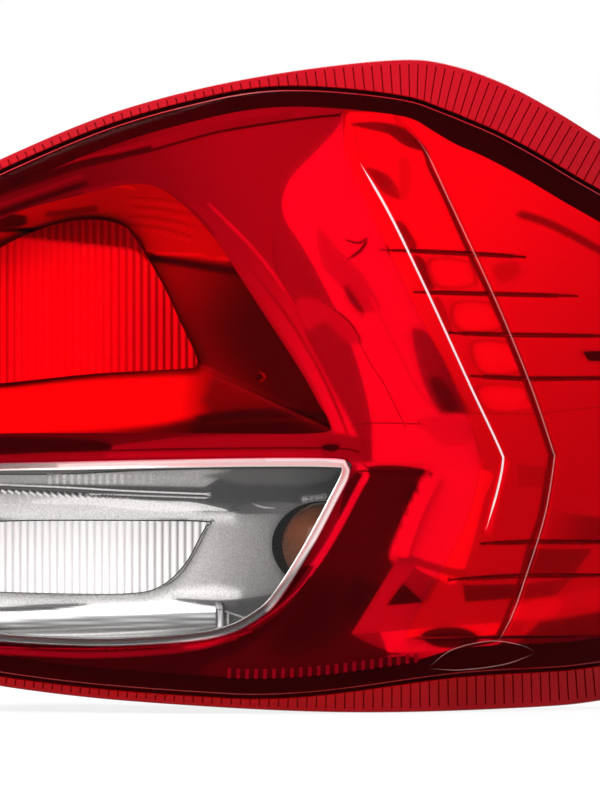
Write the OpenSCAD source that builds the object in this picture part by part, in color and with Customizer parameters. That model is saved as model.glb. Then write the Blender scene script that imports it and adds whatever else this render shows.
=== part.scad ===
// Right-hand wrap-around tail light cluster.
// The skin is one master surface, bowed in plan and slightly in height. Outlines are drawn on the
// styling plane, with u to the right and z up, and are carried back onto that surface. The styling
// plane stands at corner_angle to the car's rear. The housing, studs and bulbs follow the car's axes:
// X to the right-hand side, Y forwards into the body, Z up.

/* [Outline] */
// Inboard end of the lamp on the styling plane
inboard_u = -119; // [-124:1:-117]
// Outboard end of the lamp on the styling plane
outboard_u = 120; // [118:0.5:122]
// Height of the highest point of the outline
top_z = 90.6; // [89:0.1:93]
// Lowest point of the outline, below the centre
bottom_z = 90.6; // [89:0.1:93]

/* [Master surface] */
// Angle of the styling plane to the car's rear
corner_angle = 30; // [28:0.5:32]
// Place of the foremost line of the skin
nose_u = -10; // [-12:1:-8]
// Plan radius of the rear face
rear_r = 260; // [250:5:280]
// Angle through which the side face turns by the outboard end
end_angle = 54.3; // [53:0.1:55]
// Radius of the skin in height
crown_r = 900; // [700:50:1400]

/* [Outer lens] */
// Wall of the lens
lens_t = 2.6; // [2.2:0.1:3]
// How far the edge flange lies behind the crown
flange_drop = 5; // [4.5:0.1:5.6]
// Width of the flange on the rear face
flange_rear = 2; // [1.8:0.1:3]
// Width of the flange on the side face
flange_side = 12.5; // [11:0.5:13]
// Width of the groove between the flange and the crown
groove_w = 2; // [1.6:0.1:2.4]
// Depth of that groove below the flange
groove_h = 0.8; // [0.5:0.1:1]
// Width of the raised styling bead
bead_w = 1.4; // [1:0.1:2]
// Height of that bead
bead_h = 0.6; // [0.4:0.1:0.8]

/* [Housing] */
// Wall of the housing
housing_t = 2.5; // [2:0.1:2.8]
// Width of the weld rim that shows through the lens edge
rim_w = 6.5; // [6:0.1:7]
// Thickness of that rim
rim_t = 2.6; // [2.2:0.1:3]
// Distance from the styling origin to the flat back
back_y = 45; // [43:1:48]
// Depth of the side wing behind the skin
wing_depth = 27; // [26:0.5:28]

/* [Inner parts] */
// Spacing of the teeth on the strip under the clear window
tooth_pitch = 2.8; // [2.6:0.1:4]
// Gap left between parts that seat on each other
clearance = 0.3; // [0.2:0.05:0.4]
// Wall of the bezel, trim and reflectors
bezel_t = 1.6; // [1.4:0.1:1.8]
// Width of the chromed trim round the clear window
trim_w = 2.4; // [2:0.1:2.8]
// Depth of the fluted inner lenses behind the skin
optic_depth = 20; // [19:0.5:21]
// Spacing of the flutes
flute_pitch = 2.2; // [2:0.1:2.6]
// Height of the flutes
flute_h = 0.7; // [0.5:0.1:0.9]
// Wall of the inner lenses behind the flutes
flute_t = 1.8; // [1.6:0.1:2.2]
// Depth of the light tray behind the skin
tray_depth = 14; // [13:0.5:14.5]
// Width of the grooves between the light blocks
block_gap = 1.2; // [1:0.1:1.6]
// Thickness left under those grooves
block_web = 0.3; // [0.2:0.05:0.5]

/* [Bulbs and board] */
// Radius of the bulb glass
bulb_r = 12; // [11:0.5:12.5]
// Radius of the bulb base
base_r = 7.5; // [7:0.5:8]
// Radius of the bulb holders
holder_r = 12; // [11.5:0.5:13]
// Thickness of the circuit board
board_t = 1.2; // [1:0.1:1.4]
// Edge of a light-emitting diode
led_size = 3.5; // [3:0.1:4]
// Spacing of the light-emitting diodes
led_pitch = 15; // [14:1:20]

/* [Fixing] */
// Radius of the fixing studs
stud_r = 3; // [2.5:0.5:4]
// Free length of the fixing studs
stud_l = 20; // [16:1:26]
// Height of the bosses that hold the studs
boss_h = 5; // [4:0.5:6]
// Radius of those bosses
boss_r = 6; // [5.5:0.5:6.5]
// Radius of the locating peg on the side wing
peg_r = 4; // [3:0.5:4.5]
// Free length of the locating peg
peg_l = 14; // [10:1:18]
// Thickness of the rubber gasket against the body
gasket_t = 8; // [7:0.5:10]
// Width of that gasket
gasket_w = 6; // [5:0.5:6.5]

/* [Bulb carrier] */
// Width of the carrier opening
port_w = 36; // [34:1:38]
// Height of the carrier opening
port_h = 80; // [79:0.5:82]
// Overlap of the carrier plate on the housing
carrier_lap = 4; // [3.5:0.1:4.5]
// Thickness of the carrier plate
carrier_t = 3; // [2.5:0.1:4]
// Thickness of the seal under the carrier plate
seal_t = 2; // [1.5:0.1:2.5]
// Radius of the carrier screws
screw_r = 1.75; // [1.5:0.05:2]
// Width of the plug socket
socket_w = 24; // [22:1:26]
// Height of the plug socket
socket_h = 14; // [13:1:16]
// Depth of the plug socket
socket_d = 16; // [14:1:20]
// Wall of the plug socket
socket_t = 1.6; // [1.4:0.1:2]
// Number of contact pins in the plug socket
pin_count = 5; // [4:1:6]

/* [Hidden] */

turn_fn = 96;
knot_steps = 3;
strips = 5;
deep = 130;
bucket_front = 60;
holder_l = 12;
tooth_share = 0.62;
strip_w = 3.2;
tray_inset = groove_w + rim_w + 5;
led_h = 1.6;

side_r = (outboard_u - nose_u) / sin(end_angle);
rear_span = asin((nose_u - inboard_u) / rear_r) + 7;
side_span = end_angle + 5.7;
surface_h = max(top_z, bottom_z) * 1.104;
strip_h = 2 * surface_h / strips;

seat_d = flange_drop + lens_t;
bezel_d = seat_d - bezel_t - clearance;
chamber_d = bezel_d + bezel_t + clearance;
block_d = lens_t + clearance + 1;
block_t = bezel_d - block_d;
board_d = tray_depth + bezel_t + 2;

split_u = 48;
wing_u = 20;

// The inboard, outboard, top and bottom reach that the typed places belong to
drawn_for = [-119, 120, 90.6, 90.6];
main_pos = sized([-8, 30]);
upper_pos = sized([-62, 52]);
lower_pos = sized([-22, -70]);
port_pos = sized([-67, -11]);
vent_pos = sized([-8, 2]);
// The two bulbs of the carrier stand as far apart as its opening lets their holders
bulb_pitch = port_h - 2 * (holder_r + 3);
bulb_y = back_y - holder_l - 19;
stop_bulb_pos = [port_pos.x, bulb_y, port_pos.y + bulb_pitch / 2];
reverse_bulb_pos = [port_pos.x, bulb_y, port_pos.y - bulb_pitch / 2];
signal_bulb_pos = [sized([-5, 0]).x, chamber_d + bulb_r + 2.9, sized([0, -44.3]).y];
carrier_y = back_y + seal_t;

// Places and outlines are typed for one size, and follow the four outline sizes
function sized(p) = [
    p.x * (p.x < 0 ? inboard_u / drawn_for[0] : outboard_u / drawn_for[1]),
    p.y * (p.y < 0 ? bottom_z / drawn_for[2] : top_z / drawn_for[3])
];
function fitted(list) = [for (p = list) sized(p)];

// Sizes of the skin

function sag(z) = crown_r - sqrt(crown_r * crown_r - z * z);
function plan_r(u) = u < nose_u ? rear_r : side_r;
function turn(p) = asin((p.x - nose_u) / (plan_r(p.x) - sag(p.y)));
// Point at depth d behind the skin, under the point p of the styling plane
function at(p, d = 0) =
    let(r = plan_r(p.x), q = r - sag(p.y) - d, a = turn(p))
    [nose_u + q * sin(a), r - q * cos(a), p.y];
// Point at depth d with the same place u and z on the styling plane
function under(p, d) =
    let(r = plan_r(p.x), q = r - sag(p.y) - d)
    [p.x, r - sqrt(q * q - (p.x - nose_u) * (p.x - nose_u)), p.y];
// Turns a point of the styling frame into the car's frame
function car(v) = [
    v.x * cos(corner_angle) - v.y * sin(corner_angle),
    v.x * sin(corner_angle) + v.y * cos(corner_angle),
    v.z
];

// Smooth curves through knots

function blend(a, b, c, d, t) =
    (2 * b + (c - a) * t + (2 * a - 5 * b + 4 * c - d) * t * t + (3 * b - a - 3 * c + d) * t * t * t) / 2;
function closed(k, n = knot_steps) =
    let(m = len(k))
    [for (i = [0:m - 1]) for (j = [0:n - 1])
        blend(k[(i + m - 1) % m], k[i], k[(i + 1) % m], k[(i + 2) % m], j / n)];
function open(k, n = knot_steps) =
    let(m = len(k) - 1)
    concat([for (i = [0:m - 1]) for (j = [0:n - 1])
        blend(k[max(i - 1, 0)], k[i], k[i + 1], k[min(i + 2, m)], j / n)], [k[m]]);
function smooth(t) = let(c = max(0, min(1, t))) c * c * (3 - 2 * c);
function turned(list) = [for (i = [len(list) - 1:-1:0]) list[i]];
function side_of(a, b) = let(t = b - a) [t.y, -t.x] / norm(t);
function inward(pts, i) =
    let(m = len(pts))
    side_of(pts[(i + m - 1) % m], pts[(i + 1) % m]);
// A closed curve moved inwards by the same width all round
function shrunk(pts, w) = [for (i = [0:len(pts) - 1]) pts[i] + inward(pts, i) * w];
// A strip along an open curve, w(i) wide at its i-th point
function strip(pts, widths) =
    let(
        m = len(pts) - 1,
        n = [for (i = [0:m]) side_of(pts[max(i - 1, 0)], pts[min(i + 1, m)])]
    )
    concat(
        [for (i = [0:m]) pts[i] + n[i] * widths[i] / 2],
        turned([for (i = [0:m]) pts[i] - n[i] * widths[i] / 2])
    );
function even(pts, w) = [for (p = pts) w];
// Point of a closed curve at a fractional index
function between(pts, t) =
    let(i = floor(t), m = len(pts))
    pts[i % m] * (1 - t + i) + pts[(i + 1) % m] * (t - i);

// Outlines on the styling plane

rim = closed(fitted([
    [-119, -10], [-117, 30], [-108, 48.6], [-96, 56.6], [-83, 63.2], [-55, 74.7], [-28, 82.3], [0, 87.5],
    [28, 90.6], [42, 89.3], [56, 84.8], [70, 77.9], [84, 69.8], [100, 60.6], [112, 49.6], [118.5, 34.6],
    [120, 10], [119, -44], [114, -65.6], [102, -83.6], [84, -88.5], [56, -90], [14, -90.4], [-28, -88.6],
    [-69, -85.3], [-103, -79.6], [-114, -70.6], [-118, -52.6]
]));
// Width of the flange: narrow on the rear face, broad on the side, less at the outboard end
function flange_at(p) =
    let(broad = flange_side * (0.86 + 0.14 * p.y / top_z) * (1 - 0.45 * smooth((p.x - 96) / 22)))
    flange_rear + (broad - flange_rear) * smooth((p.x + 20) / 75);
// The rim moved inwards by the flange's width and w more
function inside_flange(w) = [for (i = [0:len(rim) - 1]) rim[i] + inward(rim, i) * (flange_at(rim[i]) + w)];

stop_opening = closed(fitted([
    [-105.2, 0], [-103.2, 30], [-84, 46], [-60, 53.2], [-45, 56], [-36, 53], [-25, 42.6], [-13, 24.6],
    [0, 4.5], [5, -4.5], [8, -10], [5, -13], [-30, -13], [-70, -13], [-102.3, -13], [-105.2, -10]
]));
stop_optic = closed(fitted([
    [-101, 8], [-99, 28], [-84, 39], [-70, 45], [-59, 46.8], [-50.5, 45.5], [-46, 41.9], [-38, 28.5],
    [-33, 17.9], [-28.4, 8], [-28.6, 5.8], [-32, 4.6], [-58, 3.1], [-84, 0.5], [-97, 0], [-100.5, 2]
]));
// Round section of the stop bulb's bowl: it follows the bulb's axis as it goes deeper
function bulb_ring(r, d) = closed([for (a = [170:-22.5:-170])
    [stop_u + (d - stop_d) * tan(corner_angle), stop_bulb_pos.z] + r * [cos(a), sin(a)]]);
stop_u = stop_bulb_pos.x * cos(corner_angle) + stop_bulb_pos.y * sin(corner_angle);
stop_d = stop_bulb_pos.y * cos(corner_angle) - stop_bulb_pos.x * sin(corner_angle);
bowl_r = base_r + 4.5;
// The bowl ends just in front of the holder's mouth
bowl_depth = stop_d + (back_y - holder_l - stop_bulb_pos.y) * cos(corner_angle)
    - (bowl_r + bezel_t) * sin(corner_angle) - bezel_t;
clear_edge = closed(fitted([
    [-106, -44], [-105.5, -29], [-102, -24.6], [-60, -23.2], [-16.5, -22.3], [9, -22.4], [11.4, -23.6],
    [8.3, -30.3], [0.6, -44.7], [-7.7, -57.6], [-13, -62.4], [-20.4, -66.2], [-32, -68.4],
    [-57.5, -69.7], [-88, -68.2], [-98, -65], [-103.5, -57]
]));
window_edge = shrunk(clear_edge, -trim_w);
signal_chamber = closed(fitted([
    [-105.8, -44], [-105.5, -27], [-101.5, -22.6], [-60, -21.2], [-16.5, -20.3], [17, -20.6], [19.2, -24],
    [19.3, -34], [19.3, -46], [16, -55], [4, -62], [-12, -68], [-30, -70.4], [-57.5, -71.4],
    [-88, -69.8], [-98.3, -66.1], [-103.2, -58.5]
]));
// The same curve at the chamber's back, where the bucket's wall comes further in
signal_back = [for (p = shrunk(signal_chamber, 0.6))
    [p.x + 9 * smooth((-60 - p.x) / 48), p.y]];
reverse_optic = closed(fitted([
    [-97, -46], [-95.5, -39.6], [-84, -38], [-58, -37.6], [-27.5, -37.8], [-26.4, -39], [-28, -42],
    [-32, -49.3], [-38.5, -55.4], [-47.4, -57.7], [-70, -57.8], [-91, -57], [-95.5, -54]
]));
block_edge = open(fitted([
    [12, 66], [20, 47], [27, 32], [36, 14], [44, -2], [49, -15], [50, -22], [47, -35],
    [41, -48], [34, -60], [29, -70]
]));
bead_line = open(fitted([
    [16.6, 61.6], [24.6, 47.8], [34.6, 27.4], [46.8, 0.9], [55.5, -17.5], [56.3, -21.3],
    [54.7, -29.4], [51.6, -39.9]
]));
groove_line = open(fitted([
    [27, 74], [34.6, 65.3], [41.3, 51.5], [53.8, 25], [63.9, 0.9], [70.4, -17.8], [70.8, -20.5],
    [68.2, -35.9], [62.9, -52.8], [58.4, -65], [52, -76]
]));
crease_line = open(fitted([[-8, 41.1], [-6.6, 31.1], [1.9, 13.2], [8, 1.1], [14.3, -10.8], [17.9, -18.8]]));
light_bar_line = open(fitted([[37, -24], [33, -31.5], [29.2, -41], [27.4, -47]]));
// Grooves between the light blocks: start, deepest point at the long groove, and end
fins = [
    [[23.7, 37.6], [46, 36.9], [62.5, 35.9]], [[31.5, 26], [52, 25.6], [77.3, 25.2]],
    [[41.2, 14.7], [57, 14.3], [92, 14]], [[47.6, 2.8], [62, 2.2], [98, 2.3]],
    [[50.5, -43.8], [65, -43.4], [98, -43.9]], [[41.8, -53.7], [61.7, -52.8], [92, -53.1]]
];

// Solids cut from the master surface

module profile(r, d1, d2) {
    zs = [for (i = [0:strips]) i * strip_h - surface_h];
    polygon(concat(
        [for (z = zs) [r - sag(z) - d1, z]],
        turned([for (z = zs) [r - sag(z) - d2, z]])
    ));
}

// Everything that lies from d1 to d2 behind the skin
module layer(d1, d2) {
    if (is_undef($one_mesh)) {
        translate([nose_u, rear_r, 0])
            rotate([0, 0, -90 - rear_span])
                rotate_extrude(angle = rear_span, $fn = turn_fn)
                    profile(rear_r, d1, d2);
        translate([nose_u, side_r, 0])
            rotate([0, 0, -90])
                rotate_extrude(angle = side_span, $fn = turn_fn)
                    profile(side_r, d1, d2);
    } else {
        slab(d1, d2);
    }
}

// The same layer as one closed mesh: rows run along z, one row for each angle of the plan
module slab(d1, d2) {
    rear_cuts = ceil(turn_fn * rear_span / 360);
    side_cuts = ceil(turn_fn * side_span / 360);
    turns = concat(
        [for (i = [0:rear_cuts - 1]) rear_span * (i / rear_cuts - 1)],
        [for (i = [0:side_cuts]) side_span * i / side_cuts]
    );
    zs = [for (i = [0:strips]) i * strip_h - surface_h];
    m = len(zs);
    n = len(turns);
    points = [for (d = [d1, d2]) for (a = turns) for (z = zs)
        let(r = a < 0 ? rear_r : side_r, q = r - sag(z) - d)
        [nose_u + q * sin(a), r - q * cos(a), z]];
    at_row = n * m;
    sheet = [for (i = [0:n - 2]) for (j = [0:m - 2]) let(k = i * m + j)
        each [[k, k + 1, k + m + 1], [k, k + m + 1, k + m]]];
    ends = [for (i = [0, n - 1]) for (j = [0:m - 2]) let(k = i * m + j)
        each i == 0
            ? [[k, k + at_row + 1, k + 1], [k, k + at_row, k + at_row + 1]]
            : [[k, k + 1, k + at_row + 1], [k, k + at_row + 1, k + at_row]]];
    edges = [for (i = [0:n - 2]) for (j = [0, m - 1]) let(k = i * m + j)
        each j == 0
            ? [[k, k + m, k + at_row + m], [k, k + at_row + m, k + at_row]]
            : [[k, k + at_row + m, k + m], [k, k + at_row, k + at_row + m]]];
    polyhedron(points, concat(
        sheet,
        [for (f = sheet) [for (v = turned(f)) v + at_row]],
        ends,
        edges
    ));
}

// Carries an outline of the styling plane straight back
module drawn() {
    translate([0, deep + 10, 0])
        rotate([90, 0, 0])
            linear_extrude(deep + 20)
                children();
}

module carried(d1, d2) {
    intersection() {
        layer(d1, d2);
        drawn() children();
    }
}

module styled() {
    rotate([0, 0, corner_angle])
        children();
}

// The part's origin is at the foot of the main stud
module placed() {
    translate(-[main_pos.x, back_y + boss_h, main_pos.y])
        children();
}

// Evaluates its children as one mesh, for shapes that a curved loft bounds
module meshed() {
    $one_mesh = true;
    resize([0, 0, 0])
        children();
}

module on_skin(p, d) {
    translate(at(p, d))
        rotate([0, 0, turn(p)])
            children();
}

module along_y(y1, y2) {
    translate([0, y2, 0])
        rotate([90, 0, 0])
            linear_extrude(y2 - y1)
                children();
}

module rod(pos, y1, y2, r) {
    translate([pos.x, y1, pos.y])
        rotate([-90, 0, 0])
            cylinder(h = y2 - y1, r = r, $fn = 48);
}

module band(outer, inner) {
    difference() {
        polygon(outer);
        polygon(inner);
    }
}

// Joins matched closed curves, each at its own depth, into one closed skin
module loft(curves, depths) {
    n = len(curves[0]);
    m = len(curves);
    points = concat(
        [for (k = [0:m - 1]) for (p = curves[k]) under(p, depths[k])]
    );
    walls = [for (k = [0:m - 2]) for (i = [0:n - 1]) let(j = (i + 1) % n)
        each [[k * n + i, (k + 1) * n + i, (k + 1) * n + j], [k * n + i, (k + 1) * n + j, k * n + j]]];
    front = [for (i = [0:n - 1]) i];
    back = turned([for (i = [0:n - 1]) (m - 1) * n + i]);
    polyhedron(points, concat([front], walls, [back]));
}

// Outer lens and window

// Teeth across a band that follows the rim, spaced evenly along it
module rim_teeth(outer, inner, share, low, high) {
    m = len(rim);
    steps = [for (i = [0:m - 1]) norm(rim[(i + 1) % m] - rim[i])];
    run = [for (i = 0, s = 0; i <= m; s = s + (i < m ? steps[i] : 0), i = i + 1) [s, i]];
    total = run[m][0];
    count = floor(total / tooth_pitch);
    for (i = [0:count - 1])
        let(a = lookup(i * total / count, run), b = lookup((i + share) * total / count, run))
        if (between(rim, a).y < 0 && between(rim, a).x > low && between(rim, b).x < high)
            polygon([between(outer, a), between(outer, b), between(inner, b), between(inner, a)]);
}

module outer_lens() {
    crown = inside_flange(groove_w);
    color("firebrick", 0.7)
        placed() styled() meshed() difference() {
            union() {
                carried(0, seat_d - clearance / 2) polygon(rim);
                carried(-bead_h, lens_t / 2) polygon(strip(bead_line, even(bead_line, bead_w)));
            }
            carried(-1, flange_drop) band(shrunk(rim, -5), crown);
            carried(flange_drop - 1, flange_drop + groove_h) band(inside_flange(0), crown);
            carried(lens_t, seat_d + 1) polygon(inside_flange(groove_w + lens_t));
            drawn() polygon(window_edge);
        }
}

module clear_window() {
    color("gainsboro", 0.5)
        placed() styled()
            carried(0, lens_t) polygon(shrunk(window_edge, clearance / 10));
}

// Housing

// Outline of the bucket seen along Y, k inside its outer wall
function bucket_outline(k) = [
    for (p = inside_flange(1 + k)) if (p.x < split_u - k * 1.3)
        let(c = car(under(p, seat_d)))
        [c.x, p.y]
];
// Outline of the side wing seen along X, k inside its outer wall
function wing_outline(k) = [
    for (p = inside_flange(1 + k)) if (p.x > wing_u + k * 1.3)
        let(c = car(under(p, seat_d)))
        [c.y, p.y]
];
wing_end = max([for (q = wing_outline(0)) q.x]);
// The wing starts beside the signal bulb's holder
wing_x = signal_bulb_pos.x + holder_r + clearance;
peg_pos = [car(at([outboard_u - 9, -12], seat_d + wing_depth / 3)).x, -12];

module bucket(k, back, skin) {
    difference() {
        along_y(-bucket_front, back) polygon(bucket_outline(k));
        styled() layer(-bucket_front * 1.5, skin);
    }
}

module wing(k, depth, skin) {
    intersection() {
        translate([wing_x, 0, 0])
            rotate([90, 0, 90])
                linear_extrude(deep)
                    polygon(wing_outline(k));
        styled() layer(skin, depth);
    }
}

// Rounded rectangle round the carrier opening, larger by its margins
module port_shape(margin, r, side_margin = undef) {
    w = port_w / 2 + (is_undef(side_margin) ? margin : side_margin) - r;
    h = port_h / 2 + margin - r;
    translate(port_pos)
        polygon([for (q = [[w, h, 0], [-w, h, 90], [-w, -h, 180], [w, -h, 270]]) for (a = [0:18:90])
            [q.x, q.y] + r * [cos(q.z + a), sin(q.z + a)]]);
}

function screw_places() = [
    for (s = [-1, 1]) [port_pos.x + s * (port_w / 2 + carrier_lap + ear_r - 1.5), port_pos.y]
];
ear_r = 5;

module housing() {
    color("dimgray")
        placed() difference() {
            union() {
                styled() carried(seat_d, seat_d + rim_t)
                    band(shrunk(rim, 0.8), inside_flange(groove_w + rim_w));
                difference() {
                    union() {
                        bucket(0, back_y, seat_d);
                        wing(0, wing_depth, seat_d);
                    }
                    bucket(housing_t, back_y - housing_t, seat_d - 1);
                    wing(housing_t, wing_depth - housing_t, seat_d - 1);
                }
                for (pos = [main_pos, upper_pos, lower_pos])
                    rod(pos, back_y - housing_t, back_y + boss_h, boss_r);
                for (pos = screw_places())
                    rod(pos, back_y - housing_t - 2, back_y + seal_t, ear_r - 0.5);
                rod(peg_pos, wing_end - 5, wing_end + 1, peg_r + 1.5);
            }
            for (pos = [main_pos, upper_pos, lower_pos])
                rod(pos, back_y - housing_t + 1, back_y + boss_h + 1, stud_r + clearance / 2);
            for (pos = screw_places())
                rod(pos, back_y - housing_t - 3, back_y + seal_t + 1, screw_r + clearance / 2);
            along_y(back_y - deep / 10, back_y + 1) port_shape(0, 10);
            rod([signal_bulb_pos.x, signal_bulb_pos.z], back_y - deep / 10, back_y + 1, holder_r - 2);
        }
}

// Inner face and chambers

module bezel() {
    color("firebrick")
        placed() styled() difference() {
            union() {
                carried(bezel_d, bezel_d + bezel_t) polygon(inside_flange(groove_w + rim_w - 2));
                carried(bezel_d - bead_h, bezel_d + bezel_t / 2)
                    polygon(strip(crease_line, even(crease_line, bead_w)));
            }
            drawn() polygon(stop_opening);
            drawn() polygon(shrunk(window_edge, -clearance));
            block_region();
            drawn() polygon(strip(light_bar_line, even(light_bar_line, 5 + 2 * clearance)));
        }
}

module rib_strip() {
    edge = groove_w + rim_w + clearance;
    color("red")
        placed() styled()
            carried(bezel_d - clearance - 1.2, bezel_d - clearance)
                rim_teeth(inside_flange(edge), inside_flange(edge + strip_w), tooth_share, -32, 38);
}

module window_trim() {
    color("silver")
        placed() styled()
            carried(lens_t + clearance, bezel_d + bezel_t)
                band(window_edge, clear_edge);
}

// A moulded chamber, open at the front, with its own wall and holes cut as children
module chamber(curves, depths) {
    m = len(depths) - 1;
    inner = [for (i = [0:m]) depths[i] + (i == 0 ? -12 : i == m ? -bezel_t : 0)];
    meshed() difference() {
        loft([for (c = concat([curves[0]], curves)) shrunk(c, -bezel_t)], concat([depths[0] - 2], depths));
        loft(curves, inner);
        layer(-bucket_front, depths[0]);
        children();
    }
}

// The hole for a bulb's base, along Y, seen from the styling frame
module bulb_hole(pos, r) {
    rotate([0, 0, -corner_angle])
        rod([pos.x, pos.z], pos.y - bulb_r, back_y + 40, r);
}

module stop_reflector() {
    color("silver")
        placed() styled()
            chamber(
                [stop_opening, stop_optic, bulb_ring(bulb_r + 6, stop_d), bulb_ring(bowl_r, bowl_depth)],
                [chamber_d, optic_depth + flute_t + 1, stop_d, bowl_depth]
            )
                bulb_hole(stop_bulb_pos, base_r + 2.5);
}

// Plate with upright flutes on its face, d behind the skin, trimmed to an outline
module fluted(outline, d, z) {
    us = [for (p = outline) p.x];
    first = min(us) - 0.37 * flute_pitch;
    count = ceil((max(us) - first) / flute_pitch);
    front = [for (i = [0:count]) for (s = [0, 0.5])
        let(u = first + (i + s) * flute_pitch)
        [u, at([u, z]).y + d - (s == 0 ? 0 : flute_h)]];
    back = [for (i = [count + 1:-3:-2]) let(u = first + i * flute_pitch) [u, at([u, z]).y + d + flute_t]];
    meshed() intersection() {
        translate([0, 0, -surface_h])
            linear_extrude(2 * surface_h)
                polygon(concat(front, back));
        drawn() polygon(outline);
    }
}

module stop_inner_lens() {
    color("tomato")
        placed() styled()
            fluted(shrunk(stop_optic, clearance), optic_depth, 20);
}

module signal_reflector() {
    color("silver")
        placed() styled()
            chamber([signal_chamber, signal_back], [chamber_d, optic_depth + flute_t + bezel_t]) {
                drawn() polygon(shrunk(reverse_optic, -clearance));
                bulb_hole(signal_bulb_pos, bulb_r + clearance);
            }
}

module reverse_inner_lens() {
    color("white", 0.8)
        placed() styled()
            fluted(reverse_optic, optic_depth, -46);
}

// Side light: blocks, bar, tray and board

module block_region() {
    last = block_edge[len(block_edge) - 1];
    drawn() polygon(concat(block_edge, [[deep, last.y], [deep, block_edge[0].y]]));
}

module light_blocks() {
    color("crimson")
        placed() styled() meshed() difference() {
            intersection() {
                carried(block_d, block_d + block_t) polygon(inside_flange(groove_w + rim_w + clearance));
                translate([clearance, 0, 0]) block_region();
            }
            intersection() {
                layer(block_d - 1, block_d + block_t - block_web);
                drawn() {
                    offset(delta = 0.05) polygon(strip(groove_line, even(groove_line, 2 * block_gap)));
                    for (f = fins)
                        polygon(strip(open(fitted(f)), [for (i = [0:2 * knot_steps])
                            block_gap * (0.3 + 0.9 * sin(180 * i / (2 * knot_steps)))]));
                }
            }
        }
}

module light_bar() {
    color("deeppink")
        placed() styled()
            carried(block_d, chamber_d) polygon(strip(light_bar_line, even(light_bar_line, 5)));
}

// The lowest, innermost place of the grid that the diodes stand on
led_origin = [24, -60];
function led_places() = [
    for (z = [led_origin.y:led_pitch:60]) for (u = [led_origin.x:led_pitch:98])
        if (u > 26 + 27 * smooth((60 - abs(z + 18)) / 60) && norm([u - 40, z]) < 66 && z < 58 - (u - 40) * 0.6)
            [u, z]
];

// What lies short of the side wing's end wall
module short_of_end(gap) {
    rotate([0, 0, -corner_angle])
        translate([-deep, -deep, -deep])
            cube([2 * deep, deep + wing_end - housing_t - gap, 2 * deep]);
}

module light_tray() {
    color("gainsboro")
        placed() styled() meshed() difference() {
            intersection() {
                carried(chamber_d, tray_depth + bezel_t) polygon(inside_flange(tray_inset));
                translate([-3, 0, 0]) block_region();
                short_of_end(1);
            }
            intersection() {
                carried(chamber_d - 1, tray_depth) polygon(inside_flange(tray_inset + bezel_t));
                translate([bezel_t - 3, 0, 0]) block_region();
                short_of_end(1 + bezel_t);
            }
            for (p = led_places())
                on_skin(p, tray_depth - 1) translate([-led_size, 0, -led_size]) cube([2, 4, 2] * led_size);
        }
}

module led_board() {
    color("seagreen")
        placed() styled() meshed() intersection() {
            carried(board_d, board_d + board_t) polygon(inside_flange(tray_inset + 1));
            translate([-1, 0, 0]) block_region();
            short_of_end(2);
        }
}

module leds() {
    color("khaki")
        placed() styled()
            for (p = led_places())
                on_skin(p, board_d - led_h - clearance / 6)
                    translate([-led_size / 2, 0, -led_size / 2])
                        cube([led_size, led_h, led_size]);
}

// The spacers stand midway between four diodes
module board_spacers() {
    color("white")
        placed() styled()
            for (cell = [[1, 5], [3, 4], [3, 1], [2, 3], [2, 0]])
                on_skin(led_origin + (cell + [0.5, 0.5]) * led_pitch, tray_depth + bezel_t + 2 * clearance)
                    rotate([-90, 0, 0])
                        cylinder(h = board_d - tray_depth - bezel_t - 3 * clearance, r = 2, $fn = 24);
}

// Bulbs

// A bulb along Y, with its glass centred on pos
module bulb_glass(pos) {
    placed() translate(pos)
        rotate([-90, 0, 0])
            rotate_extrude($fn = 48)
                polygon(concat(
                    [for (a = [-90:10:50]) bulb_r * [cos(a), sin(a)]],
                    [[base_r - 1, bulb_r + 0.5], [base_r - 1, bulb_r + 4], [0, bulb_r + 4]]
                ));
}

module bulb_base(pos) {
    top = pos.y + bulb_r + 4;
    placed() {
        rod([pos.x, pos.z], top, back_y - 1, base_r);
        for (s = [-1, 1])
            translate([pos.x + s * (base_r - 0.5), back_y - 4, pos.z])
                rotate([0, s * 90, 0])
                    cylinder(h = 1.5, r = 1, $fn = 24);
    }
}

module stop_bulb_glass() color("white", 0.6) bulb_glass(stop_bulb_pos);
module reverse_bulb_glass() color("white", 0.6) bulb_glass(reverse_bulb_pos);
module signal_bulb_glass() color("orange", 0.8) bulb_glass(signal_bulb_pos);
module stop_bulb_base() color("goldenrod") bulb_base(stop_bulb_pos);
module reverse_bulb_base() color("goldenrod") bulb_base(reverse_bulb_pos);
module signal_bulb_base() color("goldenrod") bulb_base(signal_bulb_pos);

// Socket tube that grips a bulb base, from its mouth to its closed outer end
module holder(pos, mouth, seat, r) {
    difference() {
        rod(pos, mouth, seat, r);
        rod(pos, mouth - 1, back_y - 1 + clearance, base_r + clearance);
        for (a = [0, 180])
            translate([pos.x, mouth - 1, pos.y])
                rotate([0, a, 0])
                    translate([0, 0, -1 - clearance])
                        cube([base_r + 1 + 2 * clearance, back_y - mouth, 2 + 2 * clearance]);
    }
}

module signal_bulb_holder() {
    pos = [signal_bulb_pos.x, signal_bulb_pos.z];
    color("black")
        placed() {
            holder(pos, signal_bulb_pos.y + bulb_r - 1.5, back_y + clearance, holder_r - 2 - clearance);
            rod(pos, back_y + clearance, back_y + 4, holder_r);
            translate([pos.x - 1.5, back_y + 4, pos.y - holder_r + 2])
                cube([3, 7, 2 * holder_r - 4]);
        }
}

// Bulb carrier on the flat back

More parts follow.
